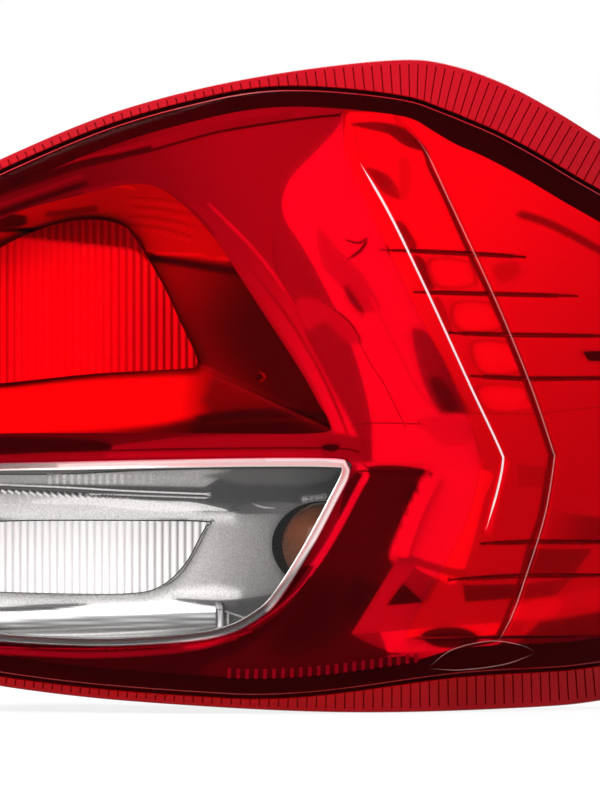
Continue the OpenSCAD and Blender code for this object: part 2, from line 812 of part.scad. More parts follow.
module bulb_carrier() {
    color("darkslategray")
        placed() difference() {
            union() {
                along_y(carrier_y, carrier_y + carrier_t) {
                    port_shape(carrier_lap, 10);
                    for (pos = screw_places())
                        translate(pos) circle(ear_r, $fn = 48);
                }
                for (pos = [stop_bulb_pos, reverse_bulb_pos])
                    holder([pos.x, pos.z], back_y - holder_l, carrier_y, holder_r);
            }
            for (pos = screw_places())
                rod(pos, carrier_y - 1, carrier_y + carrier_t + 1, screw_r + clearance / 2);
        }
}

module carrier_seal() {
    color("black")
        placed() along_y(back_y + clearance / 3, carrier_y - clearance / 3)
            difference() {
                port_shape(carrier_lap - 1, 10);
                port_shape(1, 10);
            }
}

module carrier_screws() {
    color("silver")
        placed() for (pos = screw_places()) {
            rod(pos, back_y - housing_t, carrier_y + carrier_t, screw_r);
            rod(pos, carrier_y + carrier_t, carrier_y + carrier_t + 2.4, ear_r - 1.2);
        }
}

module plug_socket() {
    y = carrier_y + carrier_t;
    color("black")
        placed() translate([port_pos.x, y, port_pos.y]) difference() {
            translate([-socket_w / 2, 0, -socket_h / 2]) cube([socket_w, socket_d, socket_h]);
            translate([-socket_w / 2 + socket_t, socket_t, -socket_h / 2 + socket_t])
                cube([socket_w - 2 * socket_t, socket_d, socket_h - 2 * socket_t]);
            translate([-socket_w / 8, socket_d / 3, socket_h / 2 - socket_t - 1])
                cube([socket_w / 4, socket_d, socket_t + 2]);
        }
}

module socket_pins() {
    room = socket_w - 2 * socket_t;
    color("gold")
        placed() translate([port_pos.x, carrier_y + carrier_t + socket_t, port_pos.y])
            for (i = [0:pin_count - 1])
                translate([-room / 2 + room * (i + 0.5) / pin_count - 1, 0, -0.4])
                    cube([2, socket_d * 0.6, 0.8]);
}

// Fixing to the body

module body_gasket() {
    margin = carrier_lap + 2 + gasket_w;
    side = carrier_lap + 2 * ear_r + gasket_w;
    color("dimgray")
        placed() along_y(back_y, back_y + gasket_t)
            difference() {
                port_shape(margin, 14, side);
                port_shape(margin - gasket_w, 14 - gasket_w, side - gasket_w);
            }
}

module stud(pos) {
    y = back_y + boss_h;
    color("silver")
        placed() {
            rod(pos, back_y - housing_t + 1 + clearance, y + stud_l, stud_r);
            rod(pos, y, y + 1.5, boss_r - 1);
        }
}

module main_stud() stud(main_pos);
module upper_stud() stud(upper_pos);
module lower_stud() stud(lower_pos);

module locating_peg() {
    y = wing_end + 1;
    color("dimgray")
        placed() {
            rod(peg_pos, y, y + peg_l - 3, peg_r);
            translate([peg_pos.x, y + peg_l - 3, peg_pos.y])
                rotate([-90, 0, 0])
                    cylinder(h = 3, r1 = peg_r, r2 = peg_r - 1.5, $fn = 48);
        }
}

module vent_cap() {
    color("black")
        placed() {
            rod(vent_pos, back_y, back_y + 3, 6);
            for (a = [0:60:300])
                translate([vent_pos.x, back_y + 3, vent_pos.y])
                    rotate([0, a, 0])
                        translate([2, 0, -0.6])
                            cube([3.4, 1.2, 1.2]);
        }
}

outer_lens();
clear_window();
housing();
bezel();
rib_strip();
window_trim();
stop_reflector();
stop_inner_lens();
signal_reflector();
reverse_inner_lens();
light_blocks();
light_bar();
light_tray();
led_board();
leds();
board_spacers();
stop_bulb_glass();
stop_bulb_base();
reverse_bulb_glass();
reverse_bulb_base();
signal_bulb_glass();
signal_bulb_base();
signal_bulb_holder();
bulb_carrier();
carrier_seal();
carrier_screws();
plug_socket();
socket_pins();
body_gasket();
main_stud();
upper_stud();
lower_stud();
locating_peg();
vent_cap();
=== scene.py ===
import math
import bpy
import bmesh
import numpy as np
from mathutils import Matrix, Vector, geometry


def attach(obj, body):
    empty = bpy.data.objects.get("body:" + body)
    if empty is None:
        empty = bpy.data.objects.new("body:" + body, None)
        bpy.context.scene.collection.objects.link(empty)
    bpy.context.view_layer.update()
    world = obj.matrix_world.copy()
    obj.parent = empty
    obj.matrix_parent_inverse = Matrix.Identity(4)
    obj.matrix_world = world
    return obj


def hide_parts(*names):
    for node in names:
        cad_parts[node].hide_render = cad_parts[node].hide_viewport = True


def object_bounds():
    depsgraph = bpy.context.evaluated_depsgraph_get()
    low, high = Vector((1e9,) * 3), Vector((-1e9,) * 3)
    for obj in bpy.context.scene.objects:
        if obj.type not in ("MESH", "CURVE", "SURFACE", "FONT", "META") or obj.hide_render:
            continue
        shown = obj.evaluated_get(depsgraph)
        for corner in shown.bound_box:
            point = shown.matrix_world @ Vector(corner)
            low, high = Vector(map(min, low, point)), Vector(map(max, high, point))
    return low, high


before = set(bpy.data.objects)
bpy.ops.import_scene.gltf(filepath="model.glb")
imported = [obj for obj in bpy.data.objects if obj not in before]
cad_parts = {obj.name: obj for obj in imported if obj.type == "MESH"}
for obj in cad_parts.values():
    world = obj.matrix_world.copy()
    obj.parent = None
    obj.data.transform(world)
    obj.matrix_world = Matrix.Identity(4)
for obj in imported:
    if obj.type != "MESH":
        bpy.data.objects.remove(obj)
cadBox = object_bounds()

# Styling plane: u to the right, z up, w away from the viewer, all in millimetres.
form = {
    "cornerAngle": math.radians(30), "noseU": -10.0, "rearR": 260.0, "crownR": 900.0,
    "sideR": 130 / math.sin(math.radians(54.3)), "origin": (-8.0, 50.0, 30.0),
    "inboardU": -119.0, "outboardU": 120.0, "topZ": 90.6, "bottomZ": -90.6,
    "flangeRear": 2.0, "flangeSide": 12.5, "flangeDrop": 5.0, "lensT": 2.6, "seatD": 7.6,
    "grooveW": 2.0, "rimW": 6.5, "chamberD": 7.6, "opticD": 20.0, "wallT": 1.6,
}
cosC = math.cos(form["cornerAngle"])
sinC = math.sin(form["cornerAngle"])


# The curved skin

def sag(z):
    return form["crownR"] - np.sqrt(form["crownR"] ** 2 - z * z)


def skinW(u, z, d):  # distance behind the styling plane of a point d behind the skin
    r = np.where(u < form["noseU"], form["rearR"], form["sideR"])
    q = r - sag(z) - d
    return r - np.sqrt(np.maximum(q * q - (u - form["noseU"]) ** 2, 1.0))


def toRow(u, w, z):
    ox, oy, oz = form["origin"]
    return np.stack([u * cosC - w * sinC - ox, u * sinC + w * cosC - oy, z - oz + 0 * u], -1) / 1000


def lift(points, depth):
    points = np.asarray(points, float)
    u, z = points[:, 0], points[:, 1]
    return toRow(u, skinW(u, z, depth), z)


# Curves through knots

def throughKnots(knots, t, loop=True):
    k = np.asarray(knots, float)
    m = len(k)
    i = np.floor(t).astype(int)
    f = (np.asarray(t) - i)[:, None]
    if loop:
        a, b, c, d = k[(i - 1) % m], k[i % m], k[(i + 1) % m], k[(i + 2) % m]
    else:
        i = np.minimum(i, m - 2)
        f = (np.asarray(t) - i)[:, None]
        a, b, c, d = k[np.maximum(i - 1, 0)], k[i], k[i + 1], k[np.minimum(i + 2, m - 1)]
    return (2 * b + (c - a) * f + (2 * a - 5 * b + 4 * c - d) * f ** 2 + (3 * b - a - 3 * c + d) * f ** 3) / 2


def closedCurve(knots, n=3):
    return throughKnots(knots, np.arange(len(knots) * n) / n)


def openCurve(knots, n=8):
    return throughKnots(knots, np.arange((len(knots) - 1) * n + 1) / n, loop=False)


def normals(pts):
    t = np.roll(pts, -1, 0) - np.roll(pts, 1, 0)
    side = np.stack([t[:, 1], -t[:, 0]], -1)
    return side / np.linalg.norm(side, axis=1)[:, None]


def shrunk(pts, w):
    return pts + normals(pts) * w


def smooth(t):
    c = np.clip(t, 0, 1)
    return c * c * (3 - 2 * c)


def evenly(pts, step, loop=False):  # the same line with points an even step apart
    if loop:
        pts = np.vstack([pts, pts[:1]])
    run = np.concatenate([[0], np.cumsum(np.linalg.norm(np.diff(pts, axis=0), axis=1))])
    n = max(int(round(run[-1] / step)), 2)
    s = np.linspace(0, run[-1], n + 1)
    out = np.stack([np.interp(s, run, pts[:, 0]), np.interp(s, run, pts[:, 1])], -1)
    return out[:-1] if loop else out


def ribbon(line, width):  # closed outline of a strip along an open line
    t = np.gradient(line, axis=0)
    side = np.stack([t[:, 1], -t[:, 0]], -1)
    side /= np.linalg.norm(side, axis=1)[:, None]
    w = np.broadcast_to(width, len(line))[:, None] / 2
    return np.vstack([line + side * w, (line - side * w)[::-1]])


# Outlines

def rimKnots():
    i, o, t, b = form["inboardU"], form["outboardU"], form["topZ"], form["bottomZ"]
    return [
        (i, -10), (i + 2, 30), (i + 11, t - 42), (i + 23, t - 34), (-83, t - 27.4), (-55, t - 15.9),
        (-28, t - 8.3), (0, t - 3.1), (28, t), (42, t - 1.3), (56, t - 5.8), (70, t - 12.7),
        (84, t - 20.8), (o - 20, t - 30), (o - 8, t - 41), (o - 1.5, t - 56), (o, 10), (o - 1, -44),
        (o - 6, b + 25), (o - 18, b + 7), (84, b + 2.1), (56, b + 0.6), (14, b + 0.2), (-28, b + 2),
        (-69, b + 5.3), (i + 16, b + 11), (i + 5, b + 20), (i + 1, b + 38),
    ]


rimCoarse = closedCurve(rimKnots())


def flangeAt(p):
    u, z = p[:, 0], p[:, 1]
    broad = form["flangeSide"] * (0.86 + 0.14 * z / form["topZ"]) * (1 - 0.45 * smooth((u - 96) / 22))
    return form["flangeRear"] + (broad - form["flangeRear"]) * smooth((u + 20) / 75)


def rimRing(w, t, onFlange=True):  # the rim moved in by w, or by the flange's width and w
    wide = flangeAt(rimCoarse) if onFlange else 0
    moved = rimCoarse + normals(rimCoarse) * (wide + w * np.ones(len(rimCoarse)))[:, None]
    return throughKnots(moved, t)


def columnsAlongRim(count, parts):
    fine = throughKnots(rimCoarse, np.arange(len(rimCoarse) * 16) / 16)
    step = np.linalg.norm(np.roll(fine, -1, 0) - fine, axis=1)
    run = np.concatenate([[0], np.cumsum(step)])
    where = np.concatenate([[i + q for q in parts] for i in range(count)]) / count * run[-1]
    return np.interp(where, run, np.arange(len(run)) / 16)


plainT = np.arange(len(rimCoarse) * 4) / 4

stopOpening = closedCurve([
    (-105.2, 0), (-103.2, 30), (-84, 46), (-60, 53.2), (-45, 56), (-36, 53), (-25, 42.6), (-13, 24.6),
    (0, 4.5), (5, -4.5), (8, -10), (5, -13), (-30, -13), (-70, -13), (-102.3, -13), (-105.2, -10)], 20)
stopOptic = closedCurve([
    (-101, 8), (-99, 28), (-84, 39), (-70, 45), (-59, 46.8), (-50.5, 45.5), (-46, 41.9), (-38, 28.5),
    (-33, 17.9), (-28.4, 8), (-28.6, 5.8), (-32, 4.6), (-58, 3.1), (-84, 0.5), (-97, 0), (-100.5, 2)], 20)
clearEdge = closedCurve([
    (-106, -44), (-105.5, -29), (-102, -24.6), (-60, -23.2), (-16.5, -22.3), (9, -22.4), (11.4, -23.6),
    (8.3, -30.3), (0.6, -44.7), (-7.7, -57.6), (-13, -62.4), (-20.4, -66.2), (-32, -68.4),
    (-57.5, -69.7), (-88, -68.2), (-98, -65), (-103.5, -57)], 10)
windowEdge = shrunk(clearEdge, -2.4)
signalOpening = closedCurve([
    (-105.8, -44), (-105.5, -27), (-101.5, -22.6), (-60, -21.2), (-16.5, -20.3), (17, -20.6), (19.2, -24),
    (19.3, -34), (19.3, -46), (16, -55), (4, -62), (-12, -68), (-30, -70.4), (-57.5, -71.4),
    (-88, -69.8), (-98.3, -66.1), (-103.2, -58.5)], 10)
signalBack = shrunk(signalOpening, 0.6)
signalBack[:, 0] += 9 * smooth((-60 - signalBack[:, 0]) / 48)
reverseOptic = closedCurve([
    (-97, -46), (-95.5, -39.6), (-84, -38), (-58, -37.6), (-27.5, -37.8), (-26.4, -39), (-28, -42),
    (-32, -49.3), (-38.5, -55.4), (-47.4, -57.7), (-70, -57.8), (-91, -57), (-95.5, -54)], 10)
blockEdge = openCurve([
    (12, 66), (20, 47), (27, 32), (36, 14), (44, -2), (49, -15), (50, -22), (47, -35),
    (41, -48), (34, -60), (29, -70)])
beadLine = openCurve([
    (16.6, 61.6), (24.6, 47.8), (34.6, 27.4), (46.8, 0.9), (55.5, -17.5), (56.3, -21.3),
    (54.7, -29.4), (51.6, -39.9)])
grooveLine = openCurve([
    (27, 74), (34.6, 65.3), (41.3, 51.5), (53.8, 25), (63.9, 0.9), (70.4, -17.8), (70.8, -20.5),
    (68.2, -35.9), (62.9, -52.8), (58.4, -65), (52, -76)])
creaseLine = openCurve([(-8, 41.1), (-6.6, 31.1), (1.9, 13.2), (8, 1.1), (14.3, -10.8), (17.9, -18.8)])
lightBarLine = openCurve([(37, -24), (33, -31.5), (29.2, -41), (27.4, -47)])
finKnots = [
    [(23.7, 37.6), (46, 36.9), (62.5, 35.9)], [(31.5, 26), (52, 25.6), (77.3, 25.2)],
    [(41.2, 14.7), (57, 14.3), (92, 14)], [(47.6, 2.8), (62, 2.2), (98, 2.3)],
    [(50.5, -43.8), (65, -43.4), (98, -43.9)], [(41.8, -53.7), (61.7, -52.8), (92, -53.1)]]


# Mesh building

def inside(points, loop):
    x, y = points[:, 0][:, None], points[:, 1][:, None]
    a, b = loop, np.roll(loop, -1, 0)
    out = np.zeros(len(points), bool)
    for k in range(0, len(points), 4000):
        s = slice(k, k + 4000)
        cross = (a[:, 1] > y[s]) != (b[:, 1] > y[s])
        at = (b[:, 0] - a[:, 0]) * (y[s] - a[:, 1]) / (b[:, 1] - a[:, 1] + 1e-12) + a[:, 0]
        out[s] = (cross & (x[s] < at)).sum(1) % 2 == 1
    return out


def distanceTo(points, line, reach=None):  # from each point to a polyline, worked out only within reach
    best = np.full(len(points), 1e9)
    if reach is None:
        pick = np.arange(len(points))
    else:
        pick = np.flatnonzero(np.all((points > line.min(0) - reach) & (points < line.max(0) + reach), axis=1))
    p = points[pick]
    near = best[pick]
    for a, b in zip(line[:-1], line[1:]):
        ab = b - a
        t = np.clip(((p - a) @ ab) / max(ab @ ab, 1e-9), 0, 1)
        near = np.minimum(near, np.linalg.norm(p - a - t[:, None] * ab, axis=1))
    best[pick] = near
    return best


def fill(keep, cut, step, extra=()):  # triangles over the area inside all of keep and none of cut
    loops = list(keep) + list(cut)
    low = np.max([l.min(0) for l in keep], 0)
    high = np.min([l.max(0) for l in keep], 0)
    gu, gz = np.meshgrid(*(np.arange(a + step / 2, b, step) for a, b in zip(low, high)))
    grid = np.stack([gu.ravel(), gz.ravel()], -1)
    if len(extra):
        more = np.vstack(extra)
        more = more[np.unique(np.round(more / 0.12), axis=0, return_index=True)[1]]
        taken = {tuple(c) for c in np.floor(more / (step * 0.8)).astype(int).tolist()}
        free = [tuple(c) not in taken for c in np.floor(grid / (step * 0.8)).astype(int).tolist()]
        grid = np.vstack([grid[free], more])
    ok = np.ones(len(grid), bool)
    for l in keep:
        ok &= inside(grid, l)
    for l in cut:
        ok &= ~inside(grid, l)
    for l in loops:
        ok &= distanceTo(grid, np.vstack([l, l[:1]])) > min(step * 0.35, 0.25)
    grid = grid[ok]
    pts, edges = [], []
    for l in loops:
        n = len(pts)
        pts += [Vector(p) for p in l.tolist()]
        edges += [(n + i, n + (i + 1) % len(l)) for i in range(len(l))]
    pts += [Vector(p) for p in grid.tolist()]
    res = geometry.delaunay_2d_cdt(pts, edges, [], 0, 1e-5)
    verts = np.array([tuple(v) for v in res[0]])
    tris = np.array([f for f in res[2] if len(f) == 3])
    centre = verts[tris].mean(1)
    ok = np.ones(len(tris), bool)
    for l in keep:
        ok &= inside(centre, l)
    for l in cut:
        ok &= ~inside(centre, l)
    return verts, tris[ok]


class Maker:
    def __init__(self):
        self.points, self.faces, self.kinds, self.count = [], [], [], 0

    def add(self, points, faces, kind=0):
        self.points.append(np.asarray(points, float))
        self.faces += [tuple(int(i) + self.count for i in f) for f in faces]
        self.kinds += [kind] * len(faces)
        self.count += len(points)

    def rings(self, rings, kinds=0, around=False):  # joins closed rings of lifted points, one after another
        m, n = len(rings), len(rings[0])
        j = np.arange(n)
        k = (j + 1) % n
        for r in range(m if around else m - 1):
            a, b = r * n, (r + 1) % m * n
            kind = kinds if isinstance(kinds, int) else kinds[r]
            quads = np.stack([a + j, a + k, b + k, b + j], -1) + self.count
            self.faces += [tuple(q) for q in quads.tolist()]
            self.kinds += [kind] * n
        self.points.append(np.vstack(rings))
        self.count += m * n

    def plate(self, keep, cut, front, back, step, extra=(), kind=0, sides=True):
        flat, tris = fill(keep, cut, step, extra)
        used = np.unique(tris)
        index = -np.ones(len(flat), int)
        index[used] = np.arange(len(used))
        flat, tris = flat[used], index[tris]
        n = len(flat)
        depth = [f(flat) if callable(f) else f for f in (front, back)]
        faces = [tuple(t) for t in tris] + [tuple(t[::-1] + n) for t in tris]
        if sides:
            every = np.vstack([tris[:, [0, 1]], tris[:, [1, 2]], tris[:, [2, 0]]])
            known = {tuple(e) for e in every.tolist()}
            faces += [(b, a, a + n, b + n) for a, b in known if (b, a) not in known]
        self.add(np.vstack([lift(flat, d) for d in depth]), faces, kind)

    def build(self, name, materials, node=(), sharp=35, body="root", shadeStrokes=None):
        mesh = bpy.data.meshes.new(name)
        mesh.from_pydata(np.vstack(self.points).tolist(), [], self.faces)
        mesh.polygons.foreach_set("material_index", self.kinds)
        work = bmesh.new()
        work.from_mesh(mesh)
        bmesh.ops.remove_doubles(work, verts=work.verts, dist=2e-6)
        bmesh.ops.dissolve_degenerate(work, edges=work.edges, dist=1e-7)
        bmesh.ops.recalc_face_normals(work, faces=work.faces)
        work.to_mesh(mesh)
        work.free()
        for m in materials:
            mesh.materials.append(m)
        mesh.shade_smooth()
        mesh.set_sharp_from_angle(angle=math.radians(sharp))
        if shadeStrokes:
            place = np.empty(len(mesh.vertices) * 3, np.float32)
            mesh.vertices.foreach_get("co", place)
            levels = shadeStrokes.at(frontView(place.reshape(-1, 3)))
            mesh.attributes.new("tone", "FLOAT", "POINT").data.foreach_set("value", levels)
        piece = bpy.data.objects.new(name, mesh)
        bpy.context.scene.collection.objects.link(piece)
        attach(piece, body)
        if node:
            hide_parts(*node)
        return piece


# Painted light and shade of the inner parts, with their real marks, drawn as they lie in the front view

view = {  # metres, millimetres, pixels for a millimetre, and the middle and height of a 600 by 800 picture
    "distance": 2.0, "aimZ": -3.857, "perMm": 3.63, "middle": (300, 400), "tall": 800,
}


def frontView(points):  # a row's points as places in a 600 by 800 front view
    x, y, z = (points * 1000 + np.array(form["origin"])).T
    near = view["perMm"] / (1 + (y * cosC - x * sinC) / (1000 * view["distance"]))
    across, down = view["middle"]
    return np.stack([across + (x * cosC + y * sinC) * near, down - (z - view["aimZ"]) * near], -1)


def fromView(places, depth):  # the same, back to the styling plane at a depth behind the skin
    p = (np.asarray(places, float) - view["middle"]) * (1, -1) / view["perMm"]
    out = p + (0, view["aimZ"])
    for _ in range(3):
        far = 1 + skinW(out[:, 0], out[:, 1], depth) / (1000 * view["distance"])
        out = p * far[:, None] + (0, view["aimZ"])
    return out


class ShadeAndMarkStrokes:  # strokes laid over each other, each an area or a line with a level from 0 to 255, painting light and shade and real marks
    def __init__(self, base):
        self.base, self.strokes = base, []

    def area(self, places, level, soft=1.0, round=True):
        loop = closedCurve(places, 6) if round else evenly(np.asarray(places, float), 3.0, loop=True)
        self.strokes.append((loop, level, soft, None))

    def line(self, places, level, width, soft=1.0, taper=0.0):
        path = openCurve(places, 6) if len(places) > 2 else evenly(np.asarray(places, float), 4.0)
        run = np.minimum(np.arange(len(path)), np.arange(len(path))[::-1]) / max(len(path) / 2, 1)
        self.strokes.append((path, level, soft, width * (1 - taper * (1 - smooth(run * 2)))))

    def at(self, p):
        tone = self.base(p) if callable(self.base) else np.full(len(p), float(self.base))
        for path, level, soft, width in self.strokes:
            if width is None:
                d = distanceTo(p, np.vstack([path, path[:1]]), soft)
                box = np.all((p > path.min(0) - soft) & (p < path.max(0) + soft), axis=1)
                within = np.zeros(len(p), bool)
                within[box] = inside(p[box], path)
                cover = smooth(0.5 + np.where(within, d, -d) / soft / 2)
            else:
                reach = width.max() + soft
                d = distanceTo(p, path, reach)
                box = d < 1e8
                wide = np.zeros(len(p))
                if box.any():
                    near = np.argmin(np.linalg.norm(p[box][:, None] - path[None, ::2], axis=2), axis=1)
                    wide[box] = width[::2][near]
                cover = 1 - smooth((d - wide / 2 + soft / 2) / soft)
            value = level(p) if callable(level) else level
            tone = tone * (1 - cover) + value * cover
        return (np.clip(tone, 0, 255) / 255) ** 2.2

    def rows(self, depth):  # rows of mesh points that keep the strokes' edges crisp
        out = []
        for path, level, soft, width in self.strokes:
            if soft > 5:
                continue
            loop = width is None
            ends = evenly(path, 3.5, loop=loop)
            t = (np.roll(ends, -1, 0) - np.roll(ends, 1, 0)) if loop else np.gradient(ends, axis=0)
            side = np.stack([t[:, 1], -t[:, 0]], -1) / np.maximum(np.linalg.norm(t, axis=1), 1e-6)[:, None]
            if loop:
                steps = (-soft / 2, soft / 2)
            else:
                wide = width.max()
                steps = (-(wide + soft) / 2, -wide / 4, 0, wide / 4, (wide + soft) / 2)
            out += [fromView(ends + side * o, depth) for o in steps]
        return out


def fade(a, b, low, high):  # level that runs from low at place a to high at place b
    a, b = np.array(a, float), np.array(b, float)
    along = (b - a) / ((b - a) @ (b - a))
    return lambda p: low + (high - low) * smooth((p - a) @ along)


# Shader maths

class Wire:  # one socket, with arithmetic that adds its Math nodes
    def __init__(self, paint, socket):
        self.paint, self.socket = paint, socket

    def both(self, how, a, b):
        return self.paint.node("ShaderNodeMath", {"operation": how}, {0: a, 1: b})

    def __add__(self, o):
        return self.both("ADD", self, o)

    def __radd__(self, o):
        return self.both("ADD", o, self)

    def __sub__(self, o):
        return self.both("SUBTRACT", self, o)

    def __rsub__(self, o):
        return self.both("SUBTRACT", o, self)

    def __mul__(self, o):
        return self.both("MULTIPLY", self, o)

    def __rmul__(self, o):
        return self.both("MULTIPLY", o, self)

    def __pow__(self, o):
        return self.both("POWER", self, o)

    def __rpow__(self, o):
        return self.both("POWER", o, self)

    def high(self, o):
        return self.both("MAXIMUM", self, o)

    def ease(self, a, b):  # 0 below a, 1 above b
        return self.paint.node("ShaderNodeMapRange", {"interpolation_type": "SMOOTHSTEP"},
                               {"Value": self, "From Min": a, "From Max": b})


def rgba(colour):
    return colour if isinstance(colour, Wire) else (*colour, 1)


class Paint:  # the nodes of one material, or of the world
    def __init__(self, owner, out="ShaderNodeOutputMaterial"):
        self.owner = bpy.data.materials.new(owner) if isinstance(owner, str) else owner
        self.owner.use_nodes = True
        self.tree = self.owner.node_tree
        self.tree.nodes.clear()
        self.out = self.tree.nodes.new(out)
        self.place = None

    def node(self, kind, settings=None, inputs=None, output=0):
        n = self.tree.nodes.new(kind)
        for key, value in (settings or {}).items():
            setattr(n, key, value)
        for key, value in (inputs or {}).items():
            if isinstance(value, Wire):
                self.tree.links.new(value.socket, n.inputs[key])
            elif value is not None:
                n.inputs[key].default_value = value
        return Wire(self, n.outputs[output])

    def where(self):  # place on the object, in metres
        if self.place is None:
            self.place = self.node("ShaderNodeTexCoord", output="Object")
        return self.place

    def height(self):  # millimetres above the middle of the lamp
        inputs = {0: self.where(), 1: (0, 0, 1000)}
        up = self.node("ShaderNodeVectorMath", {"operation": "DOT_PRODUCT"}, inputs, "Value")
        return up + form["origin"][2]

    def noise(self, scale, detail=3.0, stretch=None):
        at = self.where()
        if stretch:
            at = self.node("ShaderNodeMapping", {}, {"Vector": at, "Scale": stretch})
        inputs = {"Vector": at, "Scale": scale, "Detail": detail, "Roughness": 0.5}
        return self.node("ShaderNodeTexNoise", {}, inputs)

    def tone(self):  # painted light and shade, and marks, drawn on the piece
        return self.node("ShaderNodeAttribute", {"attribute_name": "tone"}, output="Fac")

    def mix(self, factor, a, b):  # colours
        return self.node("ShaderNodeMix", {"data_type": "RGBA"}, {0: factor, 6: rgba(a), 7: rgba(b)}, 2)

    def blend(self, factor, a, b):  # shaders
        return self.node("ShaderNodeMixShader", {}, {0: factor, 1: a, 2: b})

    def clear(self, tint=(1, 1, 1)):
        return self.node("ShaderNodeBsdfTransparent", {}, {"Color": rgba(tint)})

    def bump(self, height, distance):
        return self.node("ShaderNodeBump", {}, {"Height": height, "Distance": distance, "Strength": 1.0})

    def principled(self, colour, **sockets):
        names = {"rough": "Roughness", "metal": "Metallic", "normal": "Normal",
                 "specular": "Specular IOR Level"}
        inputs = {names[k]: v for k, v in sockets.items()}
        return self.node("ShaderNodeBsdfPrincipled", {}, {"Base Color": rgba(colour), **inputs})

    def seen(self):  # 1 for camera, glossy and transmission rays
        kinds = ("Camera", "Glossy", "Transmission")
        rays = [self.node("ShaderNodeLightPath", output=f"Is {kind} Ray") for kind in kinds]
        return rays[0].high(rays[1]).high(rays[2])

    def finish(self, shader):
        self.tree.links.new(shader.socket, self.out.inputs["Surface"])
        return self.owner


def darker(colour, share):
    return tuple(c * share for c in colour)


def grained(name, colour, rough=0.5, grain=0.00006, scale=1400, vary=0.15, **more):
    p = Paint(name)
    fine = p.noise(scale, 2)
    wide = p.noise(60)
    shade = p.mix(wide.ease(0.35, 0.65), darker(colour, 1 - vary), colour)
    worn = rough + 0.15 * (wide - 0.5)
    return p.finish(p.principled(shade, rough=worn, normal=p.bump(fine, grain), **more))


def metalled(name, colour, rough=0.2, brushed=None, grain=0.00001):
    p = Paint(name)
    fine = p.noise(900, stretch=brushed)
    shade = p.mix(p.noise(80).ease(0.3, 0.7), darker(colour, 0.88), colour)
    worn = rough + 0.12 * (fine - 0.5)
    return p.finish(p.principled(shade, metal=1.0, rough=worn, normal=p.bump(fine, grain)))


# Finishes

def lens(name, tint, gloss, edge, waves=35, swell=0.00004):  # tinted see-through with a gloss on top
    p = Paint(name)
    normal = p.bump(p.noise(waves, 1), swell)
    shine = p.node("ShaderNodeBsdfGlossy", {}, {"Color": (1, 1, 1, 1), "Roughness": 0.02, "Normal": normal})
    facing = p.node("ShaderNodeLayerWeight", {}, {"Blend": 0.5, "Normal": normal}, "Facing")
    return p.finish(p.blend(gloss + edge * facing ** 5, p.clear(tint), shine))


def lensBack(name, tint):
    p = Paint(name)
    return p.finish(p.clear(tint))


def flangeRed(name, light, dark):
    p = Paint(name)
    wide = p.noise(30, 2)
    # darker towards the bottom and lighter towards the top: painted shade
    base = p.mix(p.height().ease(-60, 90), dark, light)
    base = p.mix(0.6 * wide.ease(0.35, 0.7), base, darker(light, 0.75))
    return p.finish(p.principled(base, rough=0.24 + 0.1 * wide, specular=0.07,
                                 normal=p.bump(p.noise(250, 2), 0.00002)))


lensTint = (0.985, 0.004, 0.10)
red = lens("redLens", lensTint, 0.0018, 0.16)
beadShine = lens("beadShine", lensTint, 0.75, 0.2)
seamShine = lens("seamShine", lensTint, 0.17, 0.3)
redBack = lensBack("redLensBack", (0.99, 0.75, 0.85))
clear = lens("clearLens", (0.985, 0.985, 0.985), 0.01, 0.3, 40, 0.00005)
flange = flangeRed("flangeRed", (0.38, 0.003, 0.010), (0.19, 0.001, 0.003))
# a darker copy of the flange finish for the floors of the rib slots: painted shade
shadedFlangeSlot = flangeRed("shadedFlangeSlot", (0.16, 0.001, 0.004), (0.08, 0.001, 0.002))
housingBlack = grained("housingBlack", (0.018, 0.018, 0.02), 0.55)
rimBlack = grained("rimBlack", (0.009, 0.008, 0.009), 0.45, specular=0.2)
carrierGrey = grained("carrierGrey", (0.05, 0.05, 0.055), 0.5)
plainBlack = grained("plainBlack", (0.012, 0.012, 0.013), 0.45, grain=0.00003)
sealRubber = grained("sealRubber", (0.014, 0.014, 0.014), 0.8, scale=800)
gasketRubber = grained("gasketRubber", (0.03, 0.03, 0.03), 0.85, grain=0.00015, scale=500)
whitePlastic = grained("whitePlastic", (0.75, 0.75, 0.72), 0.45)
toothRed = grained("toothRed", (0.16, 0.2, 0.3), 0.3, vary=0.2)
boardGreen = grained("boardGreen", (0.02, 0.12, 0.05), 0.35)
ledResin = grained("ledResin", (0.75, 0.68, 0.3), 0.25)
studSteel = metalled("studSteel", (0.56, 0.55, 0.52), 0.32, brushed=(1, 0.08, 1))
screwSteel = metalled("screwSteel", (0.62, 0.62, 0.6), 0.28)
brass = metalled("brass", (0.72, 0.53, 0.24), 0.28, brushed=(1, 0.1, 1))
silver = metalled("silverCoat", (0.86, 0.86, 0.87), 0.3, grain=0.00002)


def toned(name, light, rough=0.35, vary=0.06, specular=0.3, metal=0.0, cloud=(45, 3), fine=600, uneven=0.1):
    p = Paint(name)
    wide = p.noise(*cloud)
    # the colour is scaled by the strokes' painted light and shade, with random clouds on top
    shade = p.mix(p.tone() * (1 - vary + 2 * vary * wide), (0, 0, 0), light)
    worn = rough + uneven * (wide - 0.5) if uneven else rough
    return p.finish(p.principled(shade, rough=worn, specular=specular, metal=metal,
                                 normal=p.bump(p.noise(fine, 2), 0.00001)))


# the plate's real grain, scaled by the strokes' painted light and shade
def grainAndShadePlate(name, light):
    p = Paint(name)
    grain = p.noise(2300, 2)
    shade = p.mix(p.tone() * (0.5 + grain) * (0.95 + 0.1 * p.noise(60)), (0, 0, 0), light)
    return p.finish(p.principled(shade, rough=0.5, specular=0.3, normal=p.bump(grain, 0.00004)))


def bulbFinish(name, tint, amount):
    p = Paint(name)
    shade = p.mix(p.noise(120, 2).ease(0.3, 0.7), tint, darker(tint, 0.8))
    body = p.principled(shade, rough=0.15, specular=0.12)
    return p.finish(p.blend(amount, p.clear(), body))
